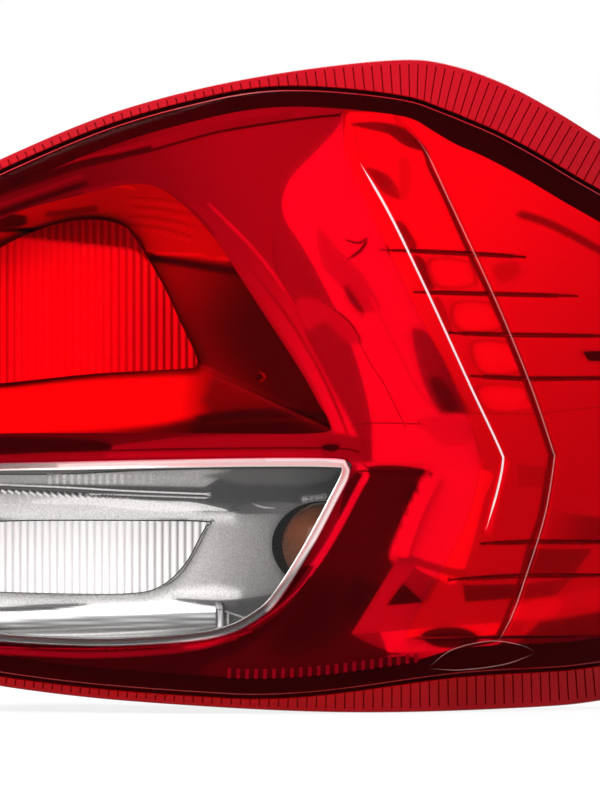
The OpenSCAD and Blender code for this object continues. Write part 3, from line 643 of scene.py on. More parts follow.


# Finishes that take their light and dark from the painted strokes below: painted shade, highlights and
# reflections, with real marks
bezelCoat = toned("bezelCoat", (0.66, 0.45, 0.85))
chamberCoat = toned("chamberCoat", (0.60, 0.2, 0.06), vary=0.08)
chamberGrey = toned("chamberGrey", (1.0, 0.98, 0.97), vary=0.08)
blockRed = toned("blockRed", (0.69, 0.34, 0.34), 0.22, 0.03)
barChrome = toned("barChrome", (1.0, 1.0, 1.0), 0.15, 0.04, 0.5, 0.3)
trimCoat = toned("trimChrome", (1.0, 0.99, 0.97), 0.18, 0.05, 0.5, 0.45)
flutedRed = toned("flutedRed", (0.70, 0.3, 0.2), 0.25, cloud=(30, 2), fine=500, uneven=0)
flutedClear = toned("flutedClear", (1.0, 0.99, 0.985), 0.3, cloud=(30, 2), fine=500, uneven=0)
plateGrainAndShade = grainAndShadePlate("grainAndShadePlate", (1.0, 0.985, 0.97))
amberGlass = bulbFinish("amberGlass", (0.10, 0.026, 0.005), 0.95)
clearGlass = bulbFinish("clearGlass", (0.85, 0.85, 0.86), 0.25)
print("finishes made")


# Outer lens

lensParts = {
    "ribPitch": 2.62, "ribDepth": 0.5, "toothShare": 0.84, "holeStep": 1.2, "fillStep": 4.0,
    "bead": (0.8, 0.42), "seam": (0.44, 0.25), "hollow": (0.22, 0.08),  # width and height of each ridge
    "hollowLines": [[(35.4, -78.1), (42.1, -73.1), (52.8, -70.8), (61.2, -72.0), (65.7, -74.1)],
                    [(35.8, -78.2), (44.9, -78.7), (57.0, -77.3), (65.5, -74.4)]],
}


def rimLength():
    fine = throughKnots(rimCoarse, np.arange(len(rimCoarse) * 8) / 8)
    return np.linalg.norm(np.roll(fine, -1, 0) - fine, axis=1).sum()


def ridge(maker, line, size, kind):  # a raised line that tapers at both ends
    wide, high = size
    line = evenly(line, 0.8)
    w = wide * smooth(np.minimum(np.arange(len(line)) + 1, np.arange(len(line))[::-1] + 1) / 12)
    side = ribbon(line, w)
    n = len(line)
    left, right = side[:n], side[n:][::-1]
    lifted = -high * w / wide
    rows = [lift(left, 0.1), lift(left * 0.8 + line * 0.2, 0.6 * lifted), lift(line, lifted),
            lift(right * 0.8 + line * 0.2, 0.6 * lifted), lift(right, 0.1)]
    faces = [(r * n + i, (r + 1) % 5 * n + i, (r + 1) % 5 * n + i + 1, r * n + i + 1)
             for r in range(5) for i in range(n - 1)]
    faces += [tuple(r * n for r in range(4, -1, -1)), tuple(r * n + n - 1 for r in range(5))]
    maker.add(np.vstack(rows), faces, kind)


def makeLens():
    count = int(rimLength() / lensParts["ribPitch"])
    top = lensParts["toothShare"]
    t = columnsAlongRim(count, (0.0, 0.42, top, top + 0.05, 0.95))
    slot = np.tile([0.0, 0.0, 0.0, 1.0, 1.0], count)
    drop, seat, gw, lt = form["flangeDrop"], form["seatD"] - 0.15, form["grooveW"], form["lensT"]
    cut = drop + slot * lensParts["ribDepth"]
    wide = flangeAt(throughKnots(rimCoarse, t))
    plain = np.clip(0.16 * wide, 0.9, 1.3)  # the ribs stop short of the outer edge

    def ring(w, depth, onFlange=True):
        return lift(rimRing(w, t, onFlange), depth)

    def between(share, depth):  # a ring part of the way across the flange
        a, b = rimRing(0, t, False), rimRing(0.5, t)
        share = np.broadcast_to(share, len(t))[:, None]
        return lift(a * (1 - share) + b * share, depth)

    toothed = rimRing(0.5, t) * (1 - slot[:, None]) + rimRing(0.15, t) * slot[:, None]
    outer = [
        ring(0, seat, False), ring(0, drop + 0.35, False), ring(0.3, drop, False),
        between(plain / (wide + 0.5), drop), between((plain + 0.3) / (wide + 0.5), cut), between(0.75, cut),
        lift(toothed, cut), ring(0.7, drop + 1.0),
        ring(gw - 0.15, drop + 1.0), ring(gw - 0.1, drop + 0.5), ring(gw, 1.0), ring(gw + 0.3, 0.35),
        ring(gw + 1.1, 0.04), ring(gw + 2.0, 0.0)]
    under = [ring(gw + lt + 0.6, lt), ring(gw + lt, lt + 0.5), ring(gw + lt, seat), ring(0.4, seat),
             ring(0, seat, False)]
    m = Maker()
    # the thin band on the shoulder above the groove takes the flange finish, a painted highlight along the
    # step's edge
    m.rings(outer, [0, 0, 0, 0, 0, 0, 0, 1, 1, 1, 0, 1, 1])
    n = len(t)
    for r in (4, 5):  # slot floors, in the darker flange finish as painted shade
        for i in np.flatnonzero((slot > 0) & (np.roll(slot, -1) > 0)):
            m.kinds[r * n + i] = 3
    m.rings(under, [2, 2, 2, 0])
    hole = evenly(windowEdge, lensParts["holeStep"], loop=True)
    for edge, depth, kind in ((rimRing(gw + 2.0, t), 0.0, 1), (rimRing(gw + lt + 0.6, t), lt, 2)):
        flat, tris = fill([edge], [hole], lensParts["fillStep"])
        m.add(lift(flat, depth), [tuple(x) for x in tris], kind)
    m.rings([lift(hole, 0.0), lift(hole, lt)], 1)
    ridge(m, beadLine, lensParts["bead"], 4)
    ridge(m, grooveLine[6:-4], lensParts["seam"], 5)
    for line in lensParts["hollowLines"]:
        ridge(m, openCurve(line), lensParts["hollow"], 5)
    materials = [flange, red, redBack, shadedFlangeSlot, beadShine, seamShine]
    m.build("outerLens", materials, ["outer_lens"], 40)


makeLens()


# Painted reflections and shade on the window's chrome trim: bright streaks along its top and right side,
# darker along its lower edge
trimReflectionsAndShade = ShadeAndMarkStrokes(fade((0, 466), (110, 462), 120, 205))
trimReflectionsAndShade.line([(60, 466), (130, 464), (200, 461), (262, 460)], 232, 2.5, 1.5)
trimReflectionsAndShade.line([(268, 459), (310, 458), (350, 462)], 255, 4, 2)
trimReflectionsAndShade.line([(352, 474), (338, 503), (322, 533), (312, 550)], 250, 4, 2)
trimReflectionsAndShade.line([(318, 546), (300, 570), (280, 592), (262, 610)], 120, 9, 4)
trimReflectionsAndShade.line([(262, 610), (240, 624), (200, 633), (120, 641), (40, 641), (0, 638)], 60, 12, 3)


def makeWindow():
    edge = evenly(shrunk(windowEdge, 0.03), 1.2, loop=True)
    m = Maker()
    m.plate([edge], [], 0.0, form["lensT"], 4.0)
    m.build("clearWindow", [clear], ["clear_window"])
    m = Maker()
    line = evenly(clearEdge, 1.2, loop=True)
    section = [(0.0, 3.1), (0.0, 7.3), (-2.4, 7.3), (-2.4, 3.1), (-2.1, 2.9), (-1.4, 3.15), (-1.1, 3.15),
               (-0.3, 2.9)]
    rings = [lift(shrunk(line, w), d) for w, d in section]
    m.rings(rings, around=True)
    m.build("windowTrim", [trimCoat], ["window_trim"], 50, shadeStrokes=trimReflectionsAndShade)


makeWindow()
print("lens and window made")


# Bezel and teeth

# Painted light and shade of the bezel, blocks and light bar, with their real marks: darker towards the left,
# and the side light's faces painted bright, fading darker towards their lower right
inner = ShadeAndMarkStrokes(fade((60, 200), (250, 140), 86, 154))
inner.area([(351, 112), (332, 134), (313, 154), (297, 170), (287, 184), (282, 203), (286, 222), (300, 243),
            (318, 275), (345, 330), (362, 380), (372, 430), (372, 470), (480, 470), (480, 420), (440, 350),
            (400, 262), (370, 190), (356, 140)], 250, 1.5)
inner.area([(351, 112), (430, 112), (520, 150), (620, 215), (620, 400), (620, 680), (500, 680), (400, 655),
            (440, 580), (470, 520), (483, 470), (470, 420), (410, 290), (372, 210)], fade((420, 150),
           (610, 520), 255, 188), 1.0, round=False)
# the wall beside the stop chamber, painted lighter where it faces the light; the dark gap and seam below the
# stop chamber; the dark ring under the window; painted shade on the lower bezel beside the blocks; bright
# lines along the trim's edge, a real step with a painted highlight
inner.area([(172, 196), (195, 215), (228, 256), (239, 272), (262, 305), (287, 342), (300, 362), (318, 394),
            (333, 430), (336, 462), (372, 462), (365, 455), (352, 424), (329, 381), (307, 338), (296, 308),
            (270, 272), (245, 241), (212, 214)], fade((200, 230), (345, 440), 150, 238), 3.0)
inner.line([(210, 205), (245, 240), (272, 272), (296, 308)], 225, 3.0, 2.5, 0.6)
inner.line([(245, 262), (275, 300), (300, 336), (330, 392), (350, 440)], 150, 3.0, 3.0, 0.6)
inner.area([(-20, 446), (110, 446), (180, 437), (338, 433), (372, 440), (372, 462), (-20, 470)],
           150, 1.5, round=False)
inner.area([(-20, 438), (60, 438), (104, 442), (108, 450), (60, 452), (-20, 454)], 22, 2.0)
inner.line([(60, 452), (180, 449), (300, 448), (345, 449), (358, 452)], 70, 1.6, 1.2)
inner.area([(322, 446), (330, 444), (340, 446), (334, 451), (324, 450)], 30, 1.5)
inner.line([(110, 456), (200, 455), (320, 455)], 176, 5.0, 3.0, 0.5)
inner.area([(-20, 640), (60, 645), (150, 645), (215, 636), (262, 610), (300, 568), (330, 560), (345, 700),
            (-20, 700)], 40, 1.5, round=False)
inner.area([(357, 471), (430, 471), (412, 496), (394, 534), (388, 558), (403, 584), (362, 628), (352, 634),
            (385, 650), (440, 668), (430, 700), (250, 700), (200, 672), (240, 650), (283, 618), (310, 578),
            (333, 536)], 66, 1.2)
inner.area([(300, 590), (330, 575), (350, 600), (330, 640), (290, 655), (270, 640)], 42, 14.0)
inner.area([(355, 575), (368, 583), (385, 590), (375, 612), (352, 622), (345, 600)], 40, 5.0)
inner.line([(360, 468), (366, 475), (358, 490), (343, 519), (327, 547), (308, 574)], 252, 8.0, 1.2)
inner.line([(312, 568), (288, 600), (262, 622), (235, 636)], 120, 6.0, 2.5)
inner.line([(235, 637), (184, 649), (92, 655), (0, 651), (-20, 650)], 158, 6.5, 2.0)
inner.line([(184, 647), (204, 645), (226, 638)], 245, 4.0, 2.0, 0.6)
inner.line([(366, 469), (352, 503), (337, 531), (318, 562), (300, 588), (276, 610), (250, 628)],
           235, 1.3, 0.8)
inner.line([(250, 632), (200, 643), (107, 649), (0, 647), (-20, 646)], 215, 1.2, 0.8)
# the chevron and the arrow below it, real facets whose bright and dark faces are painted light and shade
inner.area([(429, 471), (414, 495), (397, 532), (390, 556), (398, 562), (406, 562), (424, 573), (440, 580),
            (455, 584), (468, 560), (484, 500), (490, 471)], 255, 1.0)
inner.area([(398, 558), (420, 560), (386, 606), (480, 598), (545, 590), (545, 616), (480, 624), (400, 631),
            (351, 634)], 188, 1.0, round=False)
inner.area([(388, 605), (404, 584), (423, 602)], 38, 1.5, round=False)
inner.line([(412, 560), (430, 566), (452, 572), (463, 573)], 175, 9.0, 2.0)
inner.area([(380, 632), (440, 627), (503, 622), (496, 641), (470, 650), (388, 653)], 255, 1.2, round=False)
inner.area([(422, 634), (438, 628), (462, 628), (479, 637), (470, 646), (445, 648), (428, 643)], 58, 2.5)
inner.line([(392, 656), (440, 652), (495, 642)], 205, 2.0, 1.0)
# dark and bright shapes round the top of the side light, painted reflections and shade
inner.area([(351, 124), (375, 122), (399, 126), (413, 137), (421, 150), (404, 145), (388, 134), (368, 129)],
           105, 2.0)
inner.area([(366, 168), (378, 170), (390, 177), (398, 190), (400, 199), (384, 193), (374, 181)], 150, 3.0)
inner.area([(398, 160), (408, 158), (412, 176), (408, 198), (400, 199), (399, 180)], 215, 3.0)
inner.line([(346, 240), (358, 243), (367, 238)], 110, 2.2, 1.5, 0.7)
inner.line([(367, 240), (361, 250), (350, 258)], 100, 3.2, 2.0, 0.7)
inner.area([(318, 228), (341, 252), (359, 270), (372, 290), (380, 308), (370, 312), (358, 310), (341, 287),
            (322, 264)], 205, 3.0)
inner.area([(345, 286), (352, 292), (364, 312), (357, 310), (348, 298)], 120, 3.0)
inner.area([(297, 300), (322, 301), (344, 317), (358, 333), (361, 343), (345, 341), (325, 322), (305, 330)],
           196, 4.0)
inner.line([(322, 301), (344, 317), (356, 331), (361, 345)], 130, 1.6, 1.2, 0.6)
inner.line([(372, 300), (395, 345), (420, 392), (441, 413)], 236, 4.0, 2.5)
inner.line([(359, 342), (372, 366), (384, 384), (405, 426)], 190, 1.4, 0.8)
inner.area([(412, 333), (424, 331), (434, 343), (447, 366), (458, 390), (470, 412), (455, 413), (440, 412),
            (424, 384)], 150, 3.0)
inner.area([(430, 380), (440, 378), (452, 392), (460, 410), (446, 412), (438, 402)], 84, 4.0)
inner.area([(420, 420), (462, 418), (472, 440), (452, 446), (436, 440)], 226, 3.0)
inner.line([(360, 471), (400, 472), (432, 473)], 40, 1.6, 1.0)
inner.line([(352, 425), (380, 423), (420, 424)], 120, 1.0, 0.8)
# painted shadows of the blocks, the pillows' painted shading (bright middles, darker rims), and grooves and
# fins painted dark with bright centre lines
inner.area([(396, 222), (404, 224), (412, 236), (417, 247), (407, 248)], 140, 2.0)
inner.area([(414, 257), (424, 260), (430, 275), (434, 288), (426, 287)], 120, 2.0)
inner.area([(434, 300), (442, 302), (452, 330), (446, 332)], 175, 1.5)
for pillow in ([(428, 259), (466, 260), (474, 270), (475, 286), (436, 287)],
               [(452, 303), (488, 302), (498, 315), (502, 330), (457, 331)],
               [(470, 342), (508, 342), (518, 358), (521, 373), (480, 373)],
               [(476, 386), (522, 386), (530, 400), (533, 410), (486, 411)]):
    inner.area(pillow, 186, 1.6)
    centre = np.mean(pillow, 0)
    inner.area([tuple(centre + (np.array(q) - centre) * 0.84) for q in pillow], 250, 3.0)
inner.area([(493, 268), (505, 262), (516, 262), (521, 272), (512, 280), (500, 282)], 196, 4.0)
inner.line([(520, 214), (545, 222), (572, 235), (610, 256)], 140, 9.0, 3.0, 0.4)
inner.line([(440, 413), (530, 414), (560, 411), (620, 405)], 172, 1.6, 0.8)
inner.area([(583, 352), (590, 351), (620, 351), (620, 361), (588, 361)], 24, 0.8, round=False)
inner.area([(518, 465), (546, 466), (545, 487), (518, 486)], 172, 1.0, round=False)
inner.area([(527, 512), (560, 512), (590, 516), (620, 522), (620, 542), (534, 542)], fade((535, 520),
           (600, 535), 190, 130), 1.5, round=False)
inner.area([(530, 549), (592, 549), (575, 573), (526, 573)], 128, 1.5, round=False)
inner.area([(463, 585), (522, 584), (518, 598), (465, 602)], 104, 1.2, round=False)
inner.area([(525, 584), (572, 578), (555, 596), (523, 599)], 140, 1.2, round=False)
inner.area([(530, 600), (620, 584), (620, 632), (520, 640)], 208, 3.0, round=False)
inner.area([(540, 622), (620, 608), (620, 640), (510, 650)], 105, 4.0, round=False)
inner.area([(515, 605), (560, 600), (552, 616), (512, 620)], 236, 3.0)
inner.line([(505, 463), (497, 492), (488, 530)], 238, 9.0, 3.0)
inner.line([(404, 130), (424, 150), (430, 168), (446, 200), (470, 255), (490, 296), (511, 345), (526, 383),
            (549, 450), (550, 457), (540, 515), (529, 547), (521, 576), (505, 620), (492, 645)],
           118, 5.0, 2.0, 0.3)
for ends in (((386, 250), (470, 254), (526, 257)), ((414, 292), (490, 294), (578, 296)),
             ((449, 333), (508, 335), (620, 336)), ((472, 376), (526, 379), (620, 378)),
             ((482, 544), (534, 542), (620, 543)), ((451, 580), (524, 576), (620, 576))):
    left, fork, right = np.array(ends)
    inner.line([left, (left + fork) / 2, fork, (right + fork) / 2, right], 104, 4.6, 1.2, 0.75)
    inner.line([left + (4, 0), fork, right - (4, 0)], 222, 1.3, 0.8)
# rings inside the black band, the lighter ones painted highlights along the step's edge; the long dark bar at
# the left; painted shade along the stop chamber's upper edge
inner.line([(-20, 200), (0, 190), (38, 176), (76, 163), (115, 153), (153, 143), (191, 133), (229, 125),
            (290, 116)], 140, 9.0, 2.0)
inner.line([(-20, 200), (0, 191), (38, 178), (76, 165), (115, 157), (150, 148)], 26, 7.0, 2.5, 0.5)
inner.line([(-20, 203), (0, 195), (38, 182), (76, 169), (115, 159), (153, 150), (191, 139), (229, 130),
            (300, 119), (340, 115)], 44, 2.6, 1.2)
inner.line([(-20, 221), (0, 213), (40, 199), (84, 184)], 14, 6.5, 1.5, 0.5)
inner.line([(-20, 211), (0, 205), (45, 189), (80, 176)], 110, 4.0, 2.0)
inner.line([(86, 193), (119, 184), (142, 184), (168, 193), (193, 212), (212, 234)], 118, 5.0, 4.0)
# the hollow at the bottom, below the blocks, painted dark inside as shade, with painted highlights on its
# edges
inner.area([(428, 668), (452, 650), (490, 641), (520, 645), (536, 652), (505, 664), (462, 670)], 52, 1.0)
inner.line([(428, 668), (455, 669), (500, 664), (536, 652)], 225, 1.6, 1.0)
inner.line([(470, 658), (500, 650), (524, 650), (510, 657), (478, 660)], 150, 1.3, 1.0)
inner.line([(492, 655), (510, 652), (520, 653)], 20, 3.0, 1.5)
for k in range(16):  # short ribs on its upper edge, with painted highlights
    a = np.array([428 + 4.6 * k, 662 - 1.55 * k + 0.02 * k * k])
    inner.line([tuple(a), tuple(a + (3.0, -1.2))], 235, 2.0, 1.0)


bezelParts = {"depth": 5.7, "step": 1.6, "creaseHigh": 0.6, "creaseHalf": 1.4, "slotWide": 5.1}


def bezelEdge():  # lies closer to the rim on the rear than on the side
    tight, loose = [rimRing(form["grooveW"] + form["rimW"] + o, plainT) for o in (-2, 0.3)]
    share = smooth((tight[:, :1] - 28) / 18)
    return tight * (1 - share) + loose * share


def blockRegion(gap):  # everything to the right of the line where the blocks begin
    return np.vstack([blockEdge[:1] + (gap, 16), blockEdge + (gap, 0), [(130, -70), (130, 82)]])


def makeBezel():
    parts = bezelParts
    stop = evenly(stopOpening, 1.5, loop=True)
    window = shrunk(evenly(windowEdge, 1.5, loop=True), -0.3)
    slot = evenly(ribbon(lightBarLine, parts["slotWide"]), 1.0, loop=True)

    def face(p):
        high = 1 - smooth(distanceTo(p, creaseLine) / parts["creaseHalf"])
        return parts["depth"] - parts["creaseHigh"] * high

    near = [evenly(creaseLine + (o, 0.4 * o), 1.0) for o in (-1.4, -0.7, 0.0, 0.7, 1.4)]
    m = Maker()
    # the bezel carries the painted light and shade and the marks drawn above
    m.plate([bezelEdge()], [stop, window, blockRegion(0), slot], face, parts["depth"] + form["wallT"],
            parts["step"], near + inner.rows(parts["depth"]))
    m.build("innerBezel", [bezelCoat], ["bezel"], 40, shadeStrokes=inner)


makeBezel()


toothParts = {"pitch": 2.5, "share": 0.4, "across": (-2.2, 0.4), "depths": (4.3, 5.4), "reach": (-21, 33)}


def makeTeeth():
    parts = toothParts
    count = int(rimLength() / parts["pitch"])
    t = columnsAlongRim(count, (0.0, parts["share"]))
    a, b = [rimRing(form["grooveW"] + form["rimW"] + w, t) for w in parts["across"]]
    m = Maker()
    for i in range(0, 2 * count, 2):
        if a[i, 1] > 0 or not parts["reach"][0] <= a[i, 0] <= parts["reach"][1]:
            continue
        quad = np.array([a[i], a[i + 1], b[i + 1], b[i]])
        m.add(np.vstack([lift(quad, d) for d in parts["depths"]]),
              [(0, 1, 2, 3), (7, 6, 5, 4), (0, 4, 5, 1), (1, 5, 6, 2), (2, 6, 7, 3), (3, 7, 4, 0)])
    m.build("toothStrip", [toothRed], ["rib_strip"])


makeTeeth()
print("bezel made")


# Chambers

stopParts = {
    "bulb": (-67, 14, 14), "opticBack": 22.8, "bowlBack": 54.0, "ringR": 18, "bowlR": 12, "holeR": 8.6,
    "steps": (48, 8, 6),
}


def planPlace(x, y):  # from the car's axes to u and w
    return x * cosC + y * sinC, y * cosC - x * sinC


def arc(u, z, r, start, end, n):
    a = np.linspace(start, end, n)
    return np.stack([u + r * np.cos(a), z + r * np.sin(a)], -1)


def bulbRing(r, d, n):  # a ring round the stop bulb's axis, which runs along the car
    x, y, z = stopParts["bulb"]
    u, w = planPlace(x, y)
    start = math.radians(170)
    return arc(u + (d - w) * math.tan(form["cornerAngle"]), z, r, start, start - 2 * math.pi * (n - 1) / n, n)


# Painted light and shade of the stop chamber: darker towards the lower right, with a painted bright zone low
# in the chamber, painted highlights and dark bands on the roof, fine light and dark lines across it, and a
# small ring
stopShadeAndMarks = ShadeAndMarkStrokes(fade((165, 270), (258, 322), 150, 64))
stopShadeAndMarks.area([(-20, 380), (0, 386), (92, 375), (200, 366), (214, 372), (212, 385), (204, 400), (206, 412),
                (180, 421), (134, 428), (0, 437), (-20, 437)], 253, 5.0)
stopShadeAndMarks.area([(196, 330), (224, 352), (250, 385), (262, 408), (204, 414), (200, 380)], 112, 26.0)
stopShadeAndMarks.area([(188, 438), (196, 416), (240, 410), (300, 409), (345, 418), (345, 445), (188, 445)],
               26, 3.0, round=False)
stopShadeAndMarks.line([(205, 424), (260, 420), (330, 421)], 70, 3.0, 3.0, 0.5)
stopShadeAndMarks.area([(-20, 200), (60, 198), (86, 190), (119, 180), (142, 180), (170, 190), (196, 212),
                (232, 259), (190, 257), (150, 252), (143, 240), (134, 232), (119, 221), (90, 216),
                (60, 222), (20, 232), (-20, 242)], 206, 1.5)
for k in range(8):
    stopShadeAndMarks.line([(128, 197 + 4.6 * k), (160, 199 + 4.8 * k), (196, 204 + 5.6 * k)],
                   232 if k % 2 else 160, 1.6, 1.4, 0.5)
stopShadeAndMarks.line([(104, 186), (120, 186), (136, 189)], 255, 3.5, 2.0, 0.6)
stopShadeAndMarks.area([(-20, 213), (20, 215), (27, 219), (20, 226), (-20, 228)], 26, 1.5)
stopShadeAndMarks.line([(-20, 231), (30, 230), (66, 234)], 34, 4.0, 2.0, 0.4)
stopShadeAndMarks.line([(48, 214), (70, 212), (95, 208)], 140, 6.0, 3.0)
stopShadeAndMarks.line([(141, 249), (160, 253), (190, 255), (229, 259)], 255, 2.6, 1.2, 0.4)
stopShadeAndMarks.line([(152, 258), (190, 264), (244, 273)], 34, 7.0, 5.0)
stopShadeAndMarks.line([(92, 217), (119, 222), (134, 235), (145, 253), (163, 283), (182, 321), (205, 367)],
               118, 2.2, 1.0)
stopShadeAndMarks.line([(-20, 388), (0, 386), (92, 375), (205, 366)], 140, 2.5, 1.2)
stopShadeAndMarks.line(arc(260, 377, 4.4, -2.4, 1.6, 9), 205, 1.2, 0.9)
stopShadeAndMarks.area(arc(259, 377, 3.4, 0, 5.5, 8), 34, 1.0)


def makeStopReflector():
    parts, wall = stopParts, form["wallT"]
    n = len(stopOpening)
    middle, deep = planPlace(*parts["bulb"][:2])[1], parts["bowlBack"] - wall
    stages = [(stopOpening, form["chamberD"]), (stopOptic, parts["opticBack"]),
              (bulbRing(parts["ringR"], middle, n), middle), (bulbRing(parts["bowlR"], deep, n), deep)]
    lining = []
    for (a, da), (b, db), steps in zip(stages, stages[1:], parts["steps"]):
        lining += [(a * (1 - f) + b * f, da * (1 - f) + db * f) for f in np.arange(steps) / steps]
    lining.append(stages[-1])
    hole = bulbRing(parts["holeR"], parts["bowlBack"], n)
    rings = [lift(c, d) for c, d in lining] + [lift(hole, deep), lift(hole, parts["bowlBack"])]
    rings += [lift(shrunk(c, -wall), d + (0 if i else wall)) for i, (c, d) in enumerate(lining[::-6])]
    m = Maker()
    m.rings(rings, around=True)
    m.build("stopReflector", [chamberCoat], ["stop_reflector"], 40, shadeStrokes=stopShadeAndMarks)


makeStopReflector()


# Painted light and shade of the signal chamber's plate, chrome bar and post, with real marks such as the rib
# dashes and the cross-hatched patch: the base runs darker towards the bulb
plate = ShadeAndMarkStrokes(fade((150, 525), (285, 575), 205, 118))
plate.area([(-20, 498), (60, 498), (160, 503), (235, 512), (235, 522), (-20, 522)], 222, 6.0, round=False)
plate.area([(-20, 466), (345, 462), (330, 500), (318, 513), (205, 512), (130, 499), (-20, 492)],
           62, 1.5, round=False)
plate.area([(-20, 473), (60, 473), (200, 469), (232, 470), (205, 487), (150, 486), (60, 484), (-20, 484)],
           172, 2.0, round=False)
plate.area([(205, 476), (240, 468), (344, 466), (330, 480), (300, 486), (240, 484)], 96, 4.0, round=False)
for k in range(15):
    plate.line([(50 + 7.2 * k, 475 + 0.1 * k), (50 + 7.2 * k, 483)], 208 if k < 11 else 186, 3.2, 1.6)
plate.line([(-20, 474), (60, 474), (150, 470), (240, 468), (330, 468)], 46, 1.5, 1.0)
plate.line([(-20, 484), (57, 487), (130, 491), (205, 494)], 236, 1.6, 0.9)
plate.line([(-20, 487), (57, 490), (130, 494), (205, 497)], 92, 1.2, 0.9)
plate.line([(90, 494), (150, 496), (205, 498)], 216, 1.4, 0.9)
for k in range(18):
    x = 2 + 7.2 * k
    plate.line([(x, 490.5 + 0.075 * x), (x + 3.4, 492.5 + 0.075 * x)], 250, 2.6, 1.0)
# a painted highlight along the ledge
plate.area([(32, 501), (60, 498), (120, 499), (165, 501), (190, 502), (212, 506), (228, 511), (200, 511),
            (150, 511), (90, 505), (40, 504)], 255, 1.2)
plate.area([(238, 506), (262, 502), (300, 504), (304, 512), (240, 514)], fade((240, 510),
           (300, 506), 78, 110), 2.0)
plate.line([(254, 504), (262, 507), (272, 508)], 190, 1.4, 1.2, 0.6)
plate.area([(302, 497), (328, 493), (322, 508), (302, 515)], 176, 1.5, round=False)
for k in range(5):
    plate.line([(304 + 5 * k, 496), (303 + 5 * k, 514)], 120, 1.0, 0.8)
for k in range(3):
    plate.line([(302, 500 + 5 * k), (326, 497 + 5 * k)], 210, 1.2, 0.8)
plate.line([(-20, 521), (100, 521), (206, 520.5), (209, 523), (203, 538), (189, 563), (178, 577),
            (163, 587), (145, 592), (118, 595), (60, 595), (-20, 592)], 105, 1.1, 0.9)
plate.area([(-20, 592), (60, 596), (120, 596), (170, 590), (215, 585), (240, 590), (240, 612), (-20, 612)],
           226, 5.0, round=False)
plate.area([(-20, 608), (0, 607), (50, 604), (88, 604), (50, 610), (0, 614), (-20, 614)], 92, 1.2)
plate.area([(175, 599), (222, 600), (262, 596), (285, 590), (262, 612), (240, 622), (226, 630), (220, 612)],
           62, 2.0)
plate.line([(222, 610), (236, 615), (252, 620)], 168, 1.4, 0.9)
plate.line([(228, 614), (228, 625)], 200, 1.6, 0.9)
# painted highlight and reflection streaks on the chrome bar, and painted light and shade on its post
plate.area([(-20, 615), (40, 612), (88, 605), (150, 601), (176, 601), (220, 607), (218, 612), (110, 615),
            (-20, 623)], 255, 1.5, round=False)
plate.area([(-20, 624), (100, 616), (219, 611), (219, 629), (160, 634), (60, 637), (-20, 637)],
           150, 1.2, round=False)
for k, level in enumerate((120, 196, 112, 206, 150, 246)):
    plate.line([(-20, 626 + 1.9 * k), (100, 619 + 3.0 * k), (218, 613.5 + 2.6 * k)], level, 1.9, 1.4)
plate.area([(216, 603), (223, 604), (223, 627), (217, 628)], 232, 1.0, round=False)
plate.line([(219.5, 608), (219.5, 624)], 120, 1.6, 1.0)
# painted shade round the bulb
plate.area([(272, 530), (290, 508), (330, 505), (345, 545), (330, 580), (290, 584), (273, 560)], 92, 5.0)


signalParts = {
    "bulb": (-5, 22.5), "plateD": 21.8, "plateStep": 1.4, "steps": 6,
    "holeZ": -44.3, "holeSize": (14.2, 12.3),
    "bar": {"reach": (-100.5, -23.5), "z": -64.5, "rise": 0.012, "size": (3.2, 3.3)},
    # heights and radii of the post
    "post": [(-60.2, 0.9), (-60.4, 1.1), (-62.0, 1.1), (-62.3, 0.75), (-66.8, 0.75), (-67.4, 0.95)],
    "postPlace": (-22.2, 20.2),
}


def makeSignalReflector():
    parts, wall, back = signalParts, form["wallT"], signalBack
    front, face = form["chamberD"], parts["plateD"]
    shares = np.arange(parts["steps"] + 1) / parts["steps"]
    rings = [lift(signalOpening * (1 - f) + back * f, front + (face - front) * f) for f in shares]
    m = Maker()
    m.rings(rings)
    m.rings([lift(shrunk(back, -wall), face + wall), lift(shrunk(signalOpening, -wall), front), rings[0]])
    optic = shrunk(reverseOptic, -0.3)
    a = np.radians(-np.arange(48) * 7.5)
    hole = np.stack([planPlace(*parts["bulb"])[0] - 0.6 + parts["holeSize"][0] * np.cos(a),
                     parts["holeZ"] + parts["holeSize"][1] * np.sin(a)], -1)
    flat, tris = fill([back], [optic, hole], parts["plateStep"], plate.rows(face))
    m.add(lift(flat, face), [tuple(x) for x in tris], 1)
    flat, tris = fill([shrunk(back, -wall)], [optic, hole], 4.0)
    m.add(lift(flat, face + wall), [tuple(x[::-1]) for x in tris])
    for loop in (optic, hole):
        m.rings([lift(loop, face), lift(loop, face + wall)])
    bar = parts["bar"]  # half round, along the floor, with a post at its end
    proud, high = bar["size"]
    us = np.linspace(*bar["reach"], 90)
    base = skinW(us, np.full(len(us), bar["z"]), face)
    middle = bar["z"] + bar["rise"] * (us + 60)
    rows = [toRow(us, base - proud * math.sin(a), middle + high * math.cos(a))
            for a in np.linspace(0, math.pi, 13)]
    n = len(us)
    m.add(np.vstack(rows), [(r * n + i, r * n + i + 1, (r + 1) * n + i + 1, (r + 1) * n + i)
                            for r in range(12) for i in range(n - 1)]
          + [tuple(r * n for r in range(13)), tuple(r * n + n - 1 for r in range(12, -1, -1))], 2)
    turn = np.linspace(0, 2 * math.pi, 16, endpoint=False)
    u, d = parts["postPlace"]
    post = []
    for z, r in parts["post"]:
        heights = np.full(len(turn), z)
        w = skinW(np.full(len(turn), u), heights, d) + r * np.sin(turn)
        post.append(toRow(u + r * np.cos(turn), w, heights))
    m.rings(post, 2)
    m.add(np.vstack([post[0], post[-1]]), [tuple(range(16)), tuple(range(31, 15, -1))], 2)
    materials = [chamberGrey, plateGrainAndShade, barChrome]
    m.build("signalReflector", materials, ["signal_reflector"], 40, shadeStrokes=plate)


makeSignalReflector()


fluteParts = {"pitch": 2.1, "thick": 1.8, "perFlute": 8}


